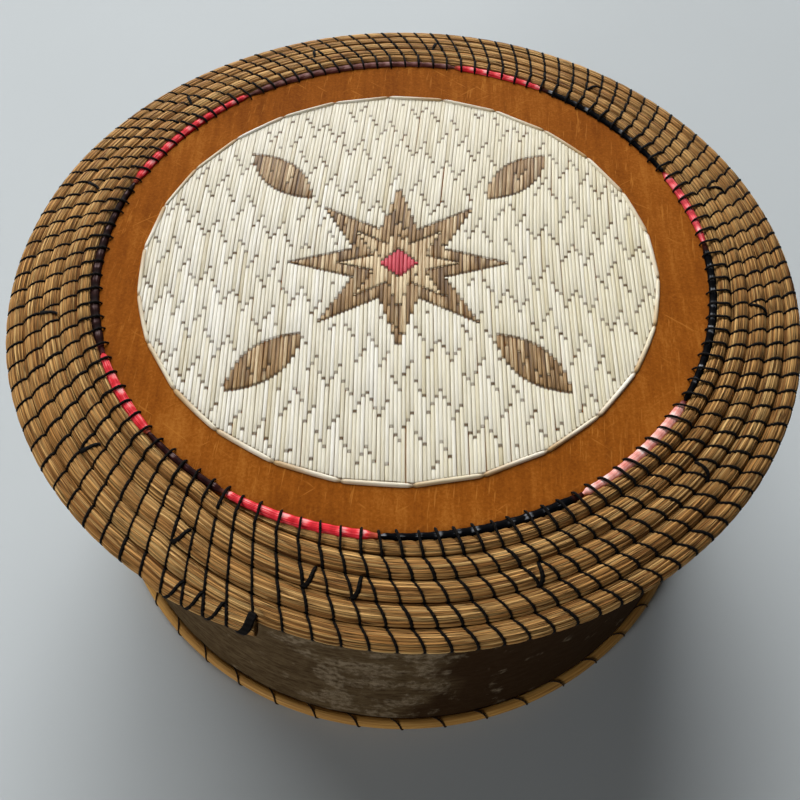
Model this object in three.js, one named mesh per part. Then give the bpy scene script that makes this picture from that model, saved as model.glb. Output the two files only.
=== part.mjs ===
// A round bark basket with a lift-off lid. The lid is a quilled sheet of bark inside a brim of
// coiled sweetgrass, and the base is a bark wall between two lashed hoops.
// Millimetres, +Z up, the table at z = 0, the basket's axis on Z and its front towards -Y.
import * as THREE from "three";

// Sizes that every piece shares
const seatGap = 0.3; // left between pieces that touch
const roundSteps = 72; // flat faces round a disc, a wall or a hoop

// The lid's bark and the quillwork on it
const lidFaceHeight = 107; // from the table to the lid's bark face
const lidBarkThickness = 1.2;
const liningThickness = 1.2;
const panelInset = 16.8; // from the brim in to the outer corners of the border quills
const panelShiftX = -1.5; // the panel was laid a little off the middle by hand
const panelShiftY = -1.75;
const quillThickness = 0.9;
const borderQuillWidth = 2;
const borderQuillThickness = 1.2;
const borderQuillCount = 26;
const borderTurnShare = -0.242; // where the first border quill starts, in turns from +X
const starPointCount = 8;
const heartPointCount = 4;
const leafCount = 4;
const leafSideSteps = 8;
// The quilled design, as shares of the panel's radius
const starTipShare = 0.423;
const starNotchShare = 0.191;
const heartShare = 0.075;
const leafGapShare = 0.075; // from a star's tip to the leaf beyond it
const leafLengthShare = 0.368;
const leafWidthShare = 0.15;

// The coloured quills along the bark's edge
const wrapWidth = 2.2;
const wrapThickness = 1;
const wrapStepShare = 0.015; // longest step along a wrap, in turns
// Where each wrap starts, in turns from +X, dark and red in turn, and where the last one ends
const wrapTurnShares = [
  0.739, 0.833, 0.906, 1.0125, 1.067, 1.164, 1.219, 1.35, 1.444, 1.564, 1.618, 1.667, 1.739,
];

// The sweetgrass coil
const brimInset = 11.4; // from the outside of the wall in to the brim's inner edge
const firstRowWidth = 3.1;
const rowWidth = 5.3;
const rowCount = 5;
const rowThickness = 5.2;
const rowGap = 0.5;
const firstRowDrop = 1.9; // from the bark face down to the middle of the first row
const lastRowDrop = 7.15; // from the bark face down to the middle of the last row
const evenFallShare = 0.79; // how much of that fall is straight, the rest steepens outward
const coilTurnSteps = 24;
const coilSides = 6;
const coilStartShare = -109 / 360; // where the bundle starts and is cut, in turns from +X
const rowStepShare = 0.15; // how much of a turn a row takes to step out by its width
const rowStepLead = 1; // coil steps from the start of that step to the bundle's thin end
const rowStepEase = 2.5;
const endLashingWidth = 2.2;
const endLashingThickness = 0.7;
const endLashingShare = 0.75; // its place along the last step of the coil

// The base
const wallRadius = 101.5;
const wallThickness = 1.6;
const floorThickness = 1.6;
const seamLap = 14; // how far the ends of a bent bark strip lap over each other
const hoopRadius = 1.8;
const hoopSides = 8;
const threadThickness = 0.5;
const threadSides = 4;
const footLashingTurns = 48;
const rimLashingTurns = 24;
const lashingTurnSteps = 8;

// The collar under the lid
const collarClearance = 0.6; // between the collar and the wall
const collarThickness = 1.4;
const collarDepth = 20;

// Outlines as shares of a width and a thickness
const crownedShares = [[0, 0], [1, 0], [1, 0.55], [0.75, 1], [0.25, 1], [0, 0.55]];

const fullTurn = 2 * Math.PI;
const brimInnerRadius = wallRadius - brimInset;
const panelRadius = brimInnerRadius - panelInset;
const root = new THREE.Group();

// Adds one named piece to the basket.
function addPiece(name, geometry, color, roughness) {
  const material = new THREE.MeshStandardMaterial({ color, roughness, metalness: 0 });
  const mesh = new THREE.Mesh(geometry, material);
  mesh.name = name;
  root.add(mesh);
  return mesh;
}

// A point at a radius, an angle and a height.
function polar(radius, angle, height) {
  return new THREE.Vector3(radius * Math.cos(angle), radius * Math.sin(angle), height);
}

// A closed solid through rings of points. Each ring is convex and runs counterclockwise when it is
// seen from where the rings come from, and the first and last ring are capped.
function ringSolid(rings) {
  const sides = rings[0].length;
  const positions = rings.flat().flatMap((point) => [point.x, point.y, point.z]);
  const index = [];
  for (let ring = 0; ring + 1 < rings.length; ring += 1) {
    for (let side = 0; side < sides; side += 1) {
      const here = ring * sides + side;
      const next = ring * sides + ((side + 1) % sides);
      index.push(here, here + sides, next, next, here + sides, next + sides);
    }
  }
  const last = (rings.length - 1) * sides;
  for (let side = 1; side + 1 < sides; side += 1) {
    index.push(0, side, side + 1, last, last + side + 1, last + side);
  }
  const geometry = new THREE.BufferGeometry();
  geometry.setAttribute("position", new THREE.Float32BufferAttribute(positions, 3));
  geometry.setIndex(index);
  geometry.computeVertexNormals();
  return geometry;
}

// The least distance between points that lie at least the given number of rings apart.
function leastGap(rings, ringsApart) {
  let least = Infinity;
  for (let first = 0; first + ringsApart < rings.length; first += 1) {
    for (let second = first + ringsApart; second < rings.length; second += 1) {
      for (const point of rings[first]) {
        for (const other of rings[second]) {
          least = Math.min(least, point.distanceTo(other));
        }
      }
    }
  }
  return least;
}

// A disc that lies flat between two heights.
function discSolid(radius, bottom, top) {
  const profile = [[0, bottom], [radius, bottom], [radius, top], [0, top]];
  const points = profile.map(([x, y]) => new THREE.Vector2(x, y));
  return new THREE.LatheGeometry(points, roundSteps).rotateX(Math.PI / 2);
}

// An outline moved outwards by a distance, or inwards by a negative one. It runs counterclockwise.
function offsetOutline(points, distance) {
  return points.map((point, i) => {
    const before = points[(i + points.length - 1) % points.length];
    const after = points[(i + 1) % points.length];
    const sideIn = point.clone().sub(before).normalize();
    const sideOut = after.clone().sub(point).normalize();
    const normalIn = new THREE.Vector2(sideIn.y, -sideIn.x);
    const normalOut = new THREE.Vector2(sideOut.y, -sideOut.x);
    const middle = normalIn.clone().add(normalOut).normalize();
    return point.clone().addScaledVector(middle, distance / middle.dot(normalIn));
  });
}

// A flat plate with the given outline and holes, from a height up.
function plateSolid(outline, holes, bottom, thickness) {
  const shape = new THREE.Shape(outline);
  shape.holes = holes.map((points) => new THREE.Path(points));
  const geometry = new THREE.ExtrudeGeometry(shape, { depth: thickness, bevelEnabled: false });
  return geometry.translate(0, 0, bottom);
}

// The sweetgrass coil: its rows, its dome and its bundle

const facetShare = Math.cos(Math.PI / coilTurnSteps); // a chord's middle against its ends
const rowEdge = (row) => {
  return brimInnerRadius + firstRowWidth * Math.min(row, 1) + rowWidth * Math.max(row - 1, 0);
};
const firstRowMiddle = (rowEdge(0) + rowEdge(1)) / 2;
const lastRowMiddle = (rowEdge(rowCount - 1) + rowEdge(rowCount)) / 2;
const domeSpan = lastRowMiddle - firstRowMiddle;

// The height of the rows' middles at a radius.
function domeHeight(radius) {
  const way = (radius - firstRowMiddle) / domeSpan;
  const fall = evenFallShare * way + (1 - evenFallShare) * way * way;
  return lidFaceHeight - firstRowDrop - (lastRowDrop - firstRowDrop) * fall;
}

// How steeply the dome falls outwards at a radius, as an angle.
function domeSlope(radius) {
  const way = (radius - firstRowMiddle) / domeSpan;
  const rate = evenFallShare + 2 * (1 - evenFallShare) * way;
  return Math.atan(((lastRowDrop - firstRowDrop) * rate) / domeSpan);
}

// The lowest that the coil can reach at a radius.
function coilUnderside(radius) {
  const chordEnd = radius / facetShare;
  return domeHeight(chordEnd) - rowThickness / 2 / Math.cos(domeSlope(chordEnd));
}

// The bundle's middle, slope and half sizes after a number of turns from its thin end.
function bundleAt(turns) {
  const stepTurns = turns + rowStepLead / coilTurnSteps;
  const wholeTurns = Math.floor(stepTurns);
  const way = Math.min((stepTurns - wholeTurns) / rowStepShare, 1);
  const outerRow = wholeTurns + 1 - (1 - way) ** rowStepEase;
  const outer = rowEdge(Math.min(outerRow, rowCount));
  const inner = rowEdge(Math.max(outerRow - 1, 0));
  const radius = (outer + inner) / 2;
  const slope = domeSlope(radius);
  return {
    radius,
    slope,
    height: domeHeight(radius),
    angle: (coilStartShare + turns) * fullTurn,
    halfWidth: (outer - inner) / 2 / Math.cos(slope) - rowGap / 2,
    halfThickness: (rowThickness / 2) * Math.min((outer - inner) / firstRowWidth, 1),
  };
}

// The bundle's section with flat sides up and down: x runs down the dome, y stands on it.
function bundleOutline(bundle) {
  const flatRise = Math.sin(fullTurn / coilSides);
  return Array.from({ length: coilSides }, (_, side) => {
    const angle = (side * fullTurn) / coilSides;
    const across = bundle.halfWidth * Math.cos(angle);
    const up = (bundle.halfThickness * Math.sin(angle)) / flatRise;
    return new THREE.Vector2(across, up);
  });
}

// A section's points put where the bundle lies.
function placeOutline(bundle, outline) {
  const cos = Math.cos(bundle.slope);
  const sin = Math.sin(bundle.slope);
  return outline.map((point) => {
    const radius = bundle.radius + point.x * cos + point.y * sin;
    return polar(radius, bundle.angle, bundle.height - point.x * sin + point.y * cos);
  });
}

const coilBundles = [];
for (let step = 0; step <= rowCount * coilTurnSteps; step += 1) {
  coilBundles.push(bundleAt(step / coilTurnSteps));
}
const coilRings = coilBundles.map((bundle) => placeOutline(bundle, bundleOutline(bundle)));
addPiece("sweetgrass_coil", ringSolid(coilRings), 0x9a7444, 0.75);
const coilGap = leastGap(coilRings, coilTurnSteps / 2);
console.log("least gap of the sweetgrass coil to itself, mm:", coilGap.toFixed(3));

// The middle of a ring of points.
function ringMiddle(ring) {
  return ring.reduce((sum, point) => sum.add(point), new THREE.Vector3()).divideScalar(ring.length);
}

// The thread that ties down the cut end goes over the last row, round its outside and back under
// it, and stays open towards the row before.
function endLashing() {
  const [before, end] = coilRings.slice(-2);
  const ring = before.map((point, i) => point.clone().lerp(end[i], endLashingShare));
  const middle = ringMiddle(ring);
  const along = ringMiddle(end).sub(ringMiddle(before)).normalize();
  const across = ring[0].clone().sub(ring[coilSides / 2]).normalize();
  const up = across.clone().cross(along);
  const outline = ring.map((point) => {
    const from = point.clone().sub(middle);
    return new THREE.Vector2(from.dot(across), from.dot(up));
  });
  const place = (point, side) => {
    const placed = middle.clone().addScaledVector(across, point.x).addScaledVector(up, point.y);
    return placed.addScaledVector(along, (side * endLashingWidth) / 2);
  };
  const inside = offsetOutline(outline, seatGap);
  const outside = offsetOutline(outline, seatGap + endLashingThickness);
  const underToTop = [4, 5, 0, 1, 2];
  return underToTop.map((corner) => [
    place(inside[corner], -1),
    place(inside[corner], 1),
    place(outside[corner], 1),
    place(outside[corner], -1),
  ]);
}
addPiece("coil_end_lashing", ringSolid(endLashing()), 0x14110f, 0.7);

// The lid's two sheets of bark

const discRadius = (brimInnerRadius + rowGap / 2) * facetShare - seatGap;
const barkBottom = lidFaceHeight - lidBarkThickness;
const liningTop = barkBottom - seatGap;
addPiece("lid_bark_top", discSolid(discRadius, barkBottom, lidFaceHeight), 0x9c5a22, 0.55);
addPiece("lid_lining", discSolid(discRadius, liningTop - liningThickness, liningTop), 0xa9713a, 0.7);

// The quilled panel

const panel = new THREE.Group();
panel.position.set(panelShiftX, panelShiftY, lidFaceHeight + seatGap);
root.add(panel);
const halfSideAngle = Math.PI / borderQuillCount;
const panelApothem = panelRadius * Math.cos(halfSideAngle);
const fieldApothem = panelApothem - borderQuillWidth - seatGap;
const fieldRadius = fieldApothem / Math.cos(halfSideAngle);

// A regular outline whose corners lie by turns at two radii.
function starOutline(count, tipRadius, notchRadius, turnShare) {
  const corners = notchRadius ? 2 * count : count;
  return Array.from({ length: corners }, (_, i) => {
    const radius = notchRadius && i % 2 ? notchRadius : tipRadius;
    const angle = (i / corners + turnShare) * fullTurn;
    return new THREE.Vector2(radius * Math.cos(angle), radius * Math.sin(angle));
  });
}

const starRadius = starTipShare * panelRadius;
const starNotchRadius = starNotchShare * panelRadius;
const heartRadius = heartShare * panelRadius;
const leafLength = leafLengthShare * panelRadius;
const leafWidth = leafWidthShare * panelRadius;
const leafDistance = starRadius + leafGapShare * panelRadius + leafLength / 2;

// A leaf that points away from the panel's middle, with two arched sides.
function leafOutline(leaf) {
  const angle = ((leaf + 1 / 2) * fullTurn) / leafCount;
  const points = [];
  for (let step = 0; step < 2 * leafSideSteps; step += 1) {
    const way = step / leafSideSteps;
    const along = (leafLength / 2) * Math.cos(way * Math.PI);
    const across = (leafWidth / 2) * Math.sin(way * Math.PI) * Math.abs(Math.sin(way * Math.PI));
    points.push(new THREE.Vector2(leafDistance + along, across));
  }
  return points.map((point) => point.rotateAround(new THREE.Vector2(), angle));
}

const fieldOutline = starOutline(borderQuillCount, fieldRadius, 0, borderTurnShare);
const starPoints = starOutline(starPointCount, starRadius, starNotchRadius, 0);
const heartPoints = starOutline(heartPointCount, heartRadius, 0, 0);
const leaves = Array.from({ length: leafCount }, (_, leaf) => leafOutline(leaf));
const cutouts = [starPoints, ...leaves].map((points) => offsetOutline(points, seatGap));
const heartHole = offsetOutline(heartPoints, seatGap);

// Adds a field of quills to the panel.
function addQuills(name, outline, holes, color) {
  panel.add(addPiece(name, plateSolid(outline, holes, 0, quillThickness), color, 0.45));
}
addQuills("quill_field", fieldOutline, cutouts, 0xd9d2bc);
addQuills("quill_star", starPoints, [heartHole], 0x8a6238);
addQuills("quill_star_heart", heartPoints, [], 0xb0303a);
leaves.forEach((points, leaf) => addQuills(`quill_leaf_${leaf + 1}`, points, [], 0x7a5230));

// A border quill lies along one side of the panel, and its ends are mitred to its neighbours.
function borderQuill(quill) {
  const angle = borderTurnShare * fullTurn + (2 * quill + 1) * halfSideAngle;
  const halfSide = panelRadius * Math.sin(halfSideAngle) - seatGap / 2;
  const outline = crownedShares.map(([acrossShare, upShare]) => {
    return [acrossShare * borderQuillWidth, upShare * borderQuillThickness];
  });
  return [-1, 1].map((end) => outline.map(([across, up]) => {
    const inward = borderQuillWidth - across;
    const along = end * (halfSide - inward * Math.tan(halfSideAngle));
    const point = new THREE.Vector3(panelApothem - inward, along, up);
    return point.applyAxisAngle(new THREE.Vector3(0, 0, 1), angle);
  }));
}
for (let quill = 0; quill < borderQuillCount; quill += 1) {
  const name = `border_quill_${String(quill + 1).padStart(2, "0")}`;
  panel.add(addPiece(name, ringSolid(borderQuill(quill)), 0xe0d5b8, 0.45));
}

// The coloured quills along the bark's edge

const wrapOuterRadius = discRadius * Math.cos(Math.PI / roundSteps);
const wrapBottom = lidFaceHeight + seatGap;

// The rings of a wrap between two shares of a turn.
function rimWrap(startShare, endShare) {
  const endGap = seatGap / 2 / wrapOuterRadius;
  const start = startShare * fullTurn + endGap;
  const end = endShare * fullTurn - endGap;
  const steps = Math.ceil((endShare - startShare) / wrapStepShare);
  return Array.from({ length: steps + 1 }, (_, step) => {
    const angle = start + ((end - start) * step) / steps;
    return crownedShares.map(([acrossShare, upShare]) => {
      const radius = wrapOuterRadius - (1 - acrossShare) * wrapWidth;
      return polar(radius, angle, wrapBottom + upShare * wrapThickness);
    });
  });
}
for (let wrap = 0; wrap + 1 < wrapTurnShares.length; wrap += 1) {
  const name = `rim_wrap_${String(wrap + 1).padStart(2, "0")}`;
  const rings = rimWrap(wrapTurnShares[wrap], wrapTurnShares[wrap + 1]);
  addPiece(name, ringSolid(rings), wrap % 2 ? 0xd0394e : 0x1f1a20, 0.35);
}

// Bark strips bent round into the wall and the collar

// The strip's ends are thinned to half and lap over each other at the back.
function barkHoop(outerRadius, thickness, bottom, top) {
  const middle = outerRadius - thickness / 2;
  const inner = [outerRadius - thickness, middle - seatGap / 2];
  const outer = [middle + seatGap / 2, outerRadius];
  const full = [outerRadius - thickness, outerRadius];
  const lap = seamLap / outerRadius;
  const gap = seatGap / outerRadius;
  const stations = [[0, outer], [lap + gap, outer]];
  for (let step = 0; step <= roundSteps; step += 1) {
    const start = lap + 2 * gap;
    const end = fullTurn - 2 * gap;
    stations.push([start + ((end - start) * step) / roundSteps, full]);
  }
  stations.push([fullTurn - gap, inner], [fullTurn + lap, inner]);
  return stations.map(([angle, [low, high]]) => {
    const turned = angle + fullTurn / 4;
    return [
      polar(low, turned, bottom),
      polar(high, turned, bottom),
      polar(high, turned, top),
      polar(low, turned, top),
    ];
  });
}

const wallInnerRadius = wallRadius - wallThickness;
const wallTop = coilUnderside(wallRadius) - seatGap;
addPiece("base_wall", ringSolid(barkHoop(wallRadius, wallThickness, 0, wallTop)), 0x4b4036, 0.9);

const collarRadius = wallInnerRadius - collarClearance;
const collarTop = coilUnderside(collarRadius) - seatGap;
const collarRings = barkHoop(collarRadius, collarThickness, collarTop - collarDepth, collarTop);
addPiece("lid_collar", ringSolid(collarRings), 0x9a6a3c, 0.75);

const floorRadius = wallInnerRadius * Math.cos(Math.PI / roundSteps) - seatGap;
addPiece("base_floor", discSolid(floorRadius, 0, floorThickness), 0x8a5a2c, 0.75);

// The two hoops round the wall, and the thread wound over each

const threadReach = hoopRadius + seatGap + threadThickness; // from a hoop's middle
const hoopMiddleRadius = wallRadius + seatGap + threadReach;

// A hoop whose section has flat sides against the thread's straight steps.
function hoopSolid(height) {
  const cornerRadius = hoopRadius / Math.cos(Math.PI / hoopSides);
  const points = Array.from({ length: hoopSides + 1 }, (_, side) => {
    const angle = ((side + 1 / 2) * fullTurn) / hoopSides;
    const radius = hoopMiddleRadius + cornerRadius * Math.cos(angle);
    return new THREE.Vector2(radius, height + cornerRadius * Math.sin(angle));
  });
  return new THREE.LatheGeometry(points, roundSteps).rotateX(Math.PI / 2);
}

// One unbroken thread wound round a hoop, from the back of the basket once round and open there.
function lashingRings(height, turns) {
  const middleReach = hoopRadius + seatGap + threadThickness / 2;
  const cornerReach = middleReach / Math.cos(Math.PI / lashingTurnSteps);
  const steps = (turns - 1) * lashingTurnSteps;
  const advance = fullTurn / (turns * lashingTurnSteps);
  const wind = fullTurn / lashingTurnSteps;
  const cornerHalf = threadThickness / 2 / Math.cos(Math.PI / threadSides);
  return Array.from({ length: steps + 1 }, (_, step) => {
    const winding = (step + 1 / 2) * wind;
    const around = step * advance + fullTurn / 4;
    const along = new THREE.Vector3(-Math.sin(around), Math.cos(around), 0);
    const out = polar(Math.cos(winding), around, Math.sin(winding));
    const turning = polar(-Math.sin(winding), around, Math.cos(winding));
    const run = along.multiplyScalar(hoopMiddleRadius * advance);
    run.addScaledVector(turning, cornerReach * wind).normalize();
    const side = out.clone().cross(run).normalize();
    const middle = polar(hoopMiddleRadius, around, height).addScaledVector(out, cornerReach);
    return Array.from({ length: threadSides }, (__, corner) => {
      const angle = ((corner + 1 / 2) * fullTurn) / threadSides;
      const point = middle.clone().addScaledVector(out, cornerHalf * Math.cos(angle));
      return point.addScaledVector(side, cornerHalf * Math.sin(angle));
    });
  });
}

// Adds a hoop and its thread at a height, and prints how close the thread comes to itself.
function addHoop(place, height, turns) {
  addPiece(`${place}_hoop`, hoopSolid(height), 0xa9763c, 0.5);
  const rings = lashingRings(height, turns);
  addPiece(`${place}_lashing`, ringSolid(rings), 0x33241a, 0.8);
  const gap = leastGap(rings, lashingTurnSteps / 2);
  console.log(`least gap of the ${place} lashing to itself, mm:`, gap.toFixed(3));
}
addHoop("foot", threadReach + seatGap, footLashingTurns);
const rimReach = hoopMiddleRadius + threadReach;
addHoop("rim", coilUnderside(rimReach) - seatGap - threadReach, rimLashingTurns);

export default root;
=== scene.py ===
"""A round bark basket with a quilled lid and a coiled sweetgrass brim.

The script dresses the fixed frame of the basket. Lengths are metres, +Z is up, the table is at
z = 0, the basket's axis is Z and its front faces -Y. Angles are counterclockwise from +X.
"""

from __future__ import annotations

import logging
import math
from dataclasses import dataclass, field
from enum import Enum
from typing import Callable, Sequence

import bpy
import numpy as np
from mathutils import Matrix, Vector

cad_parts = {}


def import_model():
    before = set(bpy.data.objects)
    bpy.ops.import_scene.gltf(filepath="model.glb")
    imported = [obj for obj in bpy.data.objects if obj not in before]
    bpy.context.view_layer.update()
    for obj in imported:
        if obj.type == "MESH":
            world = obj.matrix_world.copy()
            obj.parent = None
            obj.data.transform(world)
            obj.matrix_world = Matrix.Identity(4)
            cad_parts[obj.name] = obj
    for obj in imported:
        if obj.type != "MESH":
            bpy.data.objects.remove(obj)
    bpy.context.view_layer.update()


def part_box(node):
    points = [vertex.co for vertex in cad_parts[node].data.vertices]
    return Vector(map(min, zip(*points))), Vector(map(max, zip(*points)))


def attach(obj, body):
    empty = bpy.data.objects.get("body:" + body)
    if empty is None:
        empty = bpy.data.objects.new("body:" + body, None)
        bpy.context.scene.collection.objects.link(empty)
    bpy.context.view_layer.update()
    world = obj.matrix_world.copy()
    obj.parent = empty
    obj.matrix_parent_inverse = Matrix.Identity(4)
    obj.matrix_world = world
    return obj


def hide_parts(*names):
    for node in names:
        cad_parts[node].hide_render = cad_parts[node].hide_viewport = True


LOG = logging.getLogger("basket")
MM = 0.001
FULL_TURN = 2 * math.pi
Colour = tuple[float, float, float]
Array = np.ndarray
Node = bpy.types.Node
Socket = bpy.types.NodeSocket
Tree = bpy.types.NodeTree


class Body(Enum):
    """The two bodies of the basket."""

    BASE = "base"
    LID = "lid"


# Number helpers


def smooth_step(value: Array, low: float, high: float) -> Array:
    """Rises smoothly from 0 at low to 1 at high.

    Args:
        value: Where to read the step.
        low: Where it starts.
        high: Where it ends.

    Returns:
        The step: 3w^2 - 2w^3, where w is the clipped way from low to high.
    """
    way = np.clip((value - low) / (high - low), 0, 1)
    return way * way * (3 - 2 * way)


def wander(along: Array, waves: Sequence[float], rng: np.random.Generator) -> Array:
    """A smooth seeded drift: the mean of sines of the given frequencies at random phases.

    Args:
        along: Where to read the drift.
        waves: The frequencies, in radians per unit of along.
        rng: The source of the phases.

    Returns:
        The drift, from -1 to 1.
    """
    return sum(np.sin(wave * along + rng.uniform(0, FULL_TURN)) for wave in waves) / len(waves)


def lattice_noise(u: Array, v: Array, cells: tuple[int, int], rng: np.random.Generator) -> Array:
    """Value noise on a lattice that repeats along u.

    Args:
        u: First coordinate, one turn from 0 to 1.
        v: Second coordinate, from 0 to 1.
        cells: How many lattice cells lie along u and along v.
        rng: The source of the lattice values.

    Returns:
        Noise from -1 to 1, blended smoothly between the four nearest lattice values.
    """
    lattice = rng.uniform(-1, 1, (cells[0], cells[1] + 2))
    x, y = (u % 1) * cells[0], np.clip(v, 0, 1) * cells[1]
    column, row = np.floor(x).astype(int), np.floor(y).astype(int)
    fx, fy = smooth_step(x - column, 0, 1), smooth_step(y - row, 0, 1)
    near, far = column % cells[0], (column + 1) % cells[0]
    low = lattice[near, row] * (1 - fx) + lattice[far, row] * fx
    high = lattice[near, row + 1] * (1 - fx) + lattice[far, row + 1] * fx
    return low * (1 - fy) + high * fy


def polar(radius: Array, angle: Array, height: Array) -> Array:
    """Points at a radius, an angle and a height, as an array whose last axis is x, y, z."""
    radius, angle, height = np.broadcast_arrays(radius, angle, height)
    return np.stack([radius * np.cos(angle), radius * np.sin(angle), height], -1)


def unit(vectors: Array) -> Array:
    """Vectors brought to length one along their last axis."""
    return vectors / np.maximum(np.linalg.norm(vectors, axis=-1, keepdims=True), 1e-12)


def ring_angles(count: int) -> Array:
    """The angles of even steps round a circle, from 0."""
    return np.arange(count) * FULL_TURN / count


def paired(first: Array, second: Array) -> Array:
    """Two coordinates side by side on a last axis, each spread over the other."""
    return np.stack(np.broadcast_arrays(first, second), -1)


def girth_steps(sides: int, girth: float) -> Array:
    """How far round a section each of its sides starts, and where the last one ends."""
    return np.arange(sides + 1) / sides * girth


def crowned(turn: Array) -> Array:
    """The profile of a quill that lies flat: 0 below and |sin t|^0.8 above."""
    return np.where(np.sin(turn) > 0, np.abs(np.sin(turn)) ** 0.8, 0.0)


# Meshes from grids of points


@dataclass
class Grid:
    """Copies of one rectangular grid of points.

    Attributes:
        points: The points, of shape (copies, rows, columns, 3).
        uv: Two surface coordinates in metres, of shape (copies, rows, columns, 2), with one more
            row or column where the grid closes on itself there.
        marks: Named point values that broadcast to (copies, rows, columns).
        tube: Whether the last column joins the first.
        ring: Whether the last row joins the first.
        capped: Whether the first and the last row of a tube are closed by a face.
    """

    points: Array
    uv: Array | None = None
    marks: dict[str, Array] = field(default_factory=dict)
    tube: bool = True
    ring: bool = False
    capped: bool = True

    def corner_index(self) -> Array:
        """The point of every grid corner, with the first row or column again where it closes.

        Returns:
            The numbers of the points, (copies, rows, columns).
        """
        shape = self.points.shape[:3]
        index = np.arange(math.prod(shape)).reshape(shape)
        if self.tube:
            index = np.concatenate([index, index[:, :, :1]], 2)
        if self.ring:
            index = np.concatenate([index, index[:, :1]], 1)
        return index


def quads_of(corners: Array) -> Array:
    """The four corners of each cell of a grid, as an array (cells, 4, ...).

    Args:
        corners: A value for each corner, (copies, rows, columns, ...).

    Returns:
        The corners' values for each cell.
    """
    cells = [corners[:, :-1, :-1], corners[:, 1:, :-1], corners[:, 1:, 1:], corners[:, :-1, 1:]]
    stacked = np.stack(cells, 3)
    return stacked.reshape(-1, 4, *stacked.shape[4:])


class Piece:
    """Gathers grids and turns them into one mesh object."""

    def __init__(self, name: str) -> None:
        """Starts an empty piece with the given name."""
        self.name = name
        self.grids: list[Grid] = []

    def add(self, grid: Grid) -> "Piece":
        """Adds a grid and returns the piece."""
        self.grids.append(grid)
        return self

    def build(self) -> bpy.types.Object:
        """Makes the object, with its faces turned outwards.

        Returns:
            The linked object, at the origin, with smooth faces.
        """
        points, faces, uvs = [], [], []
        marks: dict[str, list[Array]] = {name: [] for grid in self.grids for name in grid.marks}
        first = 0
        for grid in self.grids:
            shape = grid.points.shape[:3]
            flat = grid.points.reshape(-1, 3)
            corners = grid.corner_index()
            uv = np.zeros((*corners.shape, 2)) if grid.uv is None else grid.uv
            sets = [(quads_of(corners), quads_of(uv))]
            if grid.capped and not grid.ring:
                for row, step in ((0, -1), (-1, 1)):
                    ends = corners[:, row, : shape[2]][:, ::step]
                    sets.append((ends, uv[:, row, : shape[2]][:, ::step]))
            if signed_volume(flat, [faces_set for faces_set, _ in sets]) < 0:
                sets = [(face[:, ::-1], face_uv[:, ::-1]) for face, face_uv in sets]
            faces += [face + first for face, _ in sets]
            uvs += [face_uv for _, face_uv in sets]
            points.append(flat)
            for name, values in marks.items():
                value = grid.marks.get(name, np.zeros(1))
                values.append(np.broadcast_to(value, shape).ravel())
            first += len(flat)
        return make_object(self.name, np.concatenate(points), faces, uvs, marks)


def signed_volume(points: Array, face_sets: Sequence[Array]) -> float:
    """Six times the volume inside closed faces, negative where they point inwards.

    Args:
        points: Points, (count, 3).
        face_sets: Sets of faces, each (count, corners).

    Returns:
        The sum over the triangles a, b, c of a . (b x c).
    """
    total = 0.0
    for faces in face_sets:
        for corner in range(1, faces.shape[1] - 1):
            a, b, c = (points[faces[:, k]] for k in (0, corner, corner + 1))
            total += float(np.einsum("ij,ij->", a, np.cross(b, c)))
    return total


def make_object(
    name: str, points: Array, faces: list[Array], uvs: list[Array], marks: dict[str, list[Array]]
) -> bpy.types.Object:
    """Fills a mesh from arrays and links an object for it.

    Args:
        name: The object's name.
        points: Points, (count, 3).
        faces: Sets of faces, each (count, corners).
        uvs: For each set, (count, corners, 2).
        marks: Named point values.

    Returns:
        The object.
    """
    mesh = bpy.data.meshes.new(name)
    mesh.vertices.add(len(points))
    mesh.vertices.foreach_set("co", points.astype(np.float32).ravel())
    loops = np.concatenate([face.ravel() for face in faces]).astype(np.int32)
    sizes = np.concatenate([np.full(len(face), face.shape[1]) for face in faces])
    starts = np.concatenate([[0], np.cumsum(sizes)[:-1]]).astype(np.int32)
    mesh.loops.add(len(loops))
    mesh.loops.foreach_set("vertex_index", loops)
    mesh.polygons.add(len(starts))
    mesh.polygons.foreach_set("loop_start", starts)
    mesh.polygons.foreach_set("use_smooth", np.ones(len(starts), bool))
    mesh.update(calc_edges=True)
    layer = mesh.uv_layers.new(name="surface")
    layer.data.foreach_set("uv", np.concatenate([uv.ravel() for uv in uvs]).astype(np.float32))
    for mark, values in marks.items():
        attribute = mesh.attributes.new(mark, "FLOAT", "POINT")
        attribute.data.foreach_set("value", np.concatenate(values).astype(np.float32))
    piece = bpy.data.objects.new(name, mesh)
    bpy.context.scene.collection.objects.link(piece)
    return piece


def tube_along(
    path: Array, half_width: Array, half_height: Array, up: Array, sides: int, ring: bool = False
) -> Array:
    """Carries an elliptic section along paths.

    Each section point is path + side * half_width * cos(a) + normal * half_height * sin(a), where
    the normal is the part of up square to the path and the side is square to both.

    Args:
        path: Path points, (copies, rows, 3).
        half_width: Half widths, broadcast to (copies, rows).
        half_height: Half heights, broadcast to (copies, rows).
        up: The direction that the height follows, broadcast to path.
        sides: Points round the section.
        ring: Whether the path closes on itself.

    Returns:
        Points of shape (copies, rows, sides, 3).
    """
    if ring:
        run = np.roll(path, -1, 1) - np.roll(path, 1, 1)
    else:
        run = np.gradient(path, axis=1)
    run = unit(run)
    up = np.broadcast_to(up, path.shape)
    normal = unit(up - run * np.sum(up * run, -1, keepdims=True))
    side = np.cross(run, normal)
    angle = ring_angles(sides)
    width = np.broadcast_to(half_width, path.shape[:2])[..., None, None]
    height = np.broadcast_to(half_height, path.shape[:2])[..., None, None]
    across = side[:, :, None] * np.cos(angle)[:, None] * width
    return path[:, :, None] + across + normal[:, :, None] * np.sin(angle)[:, None] * height


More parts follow.
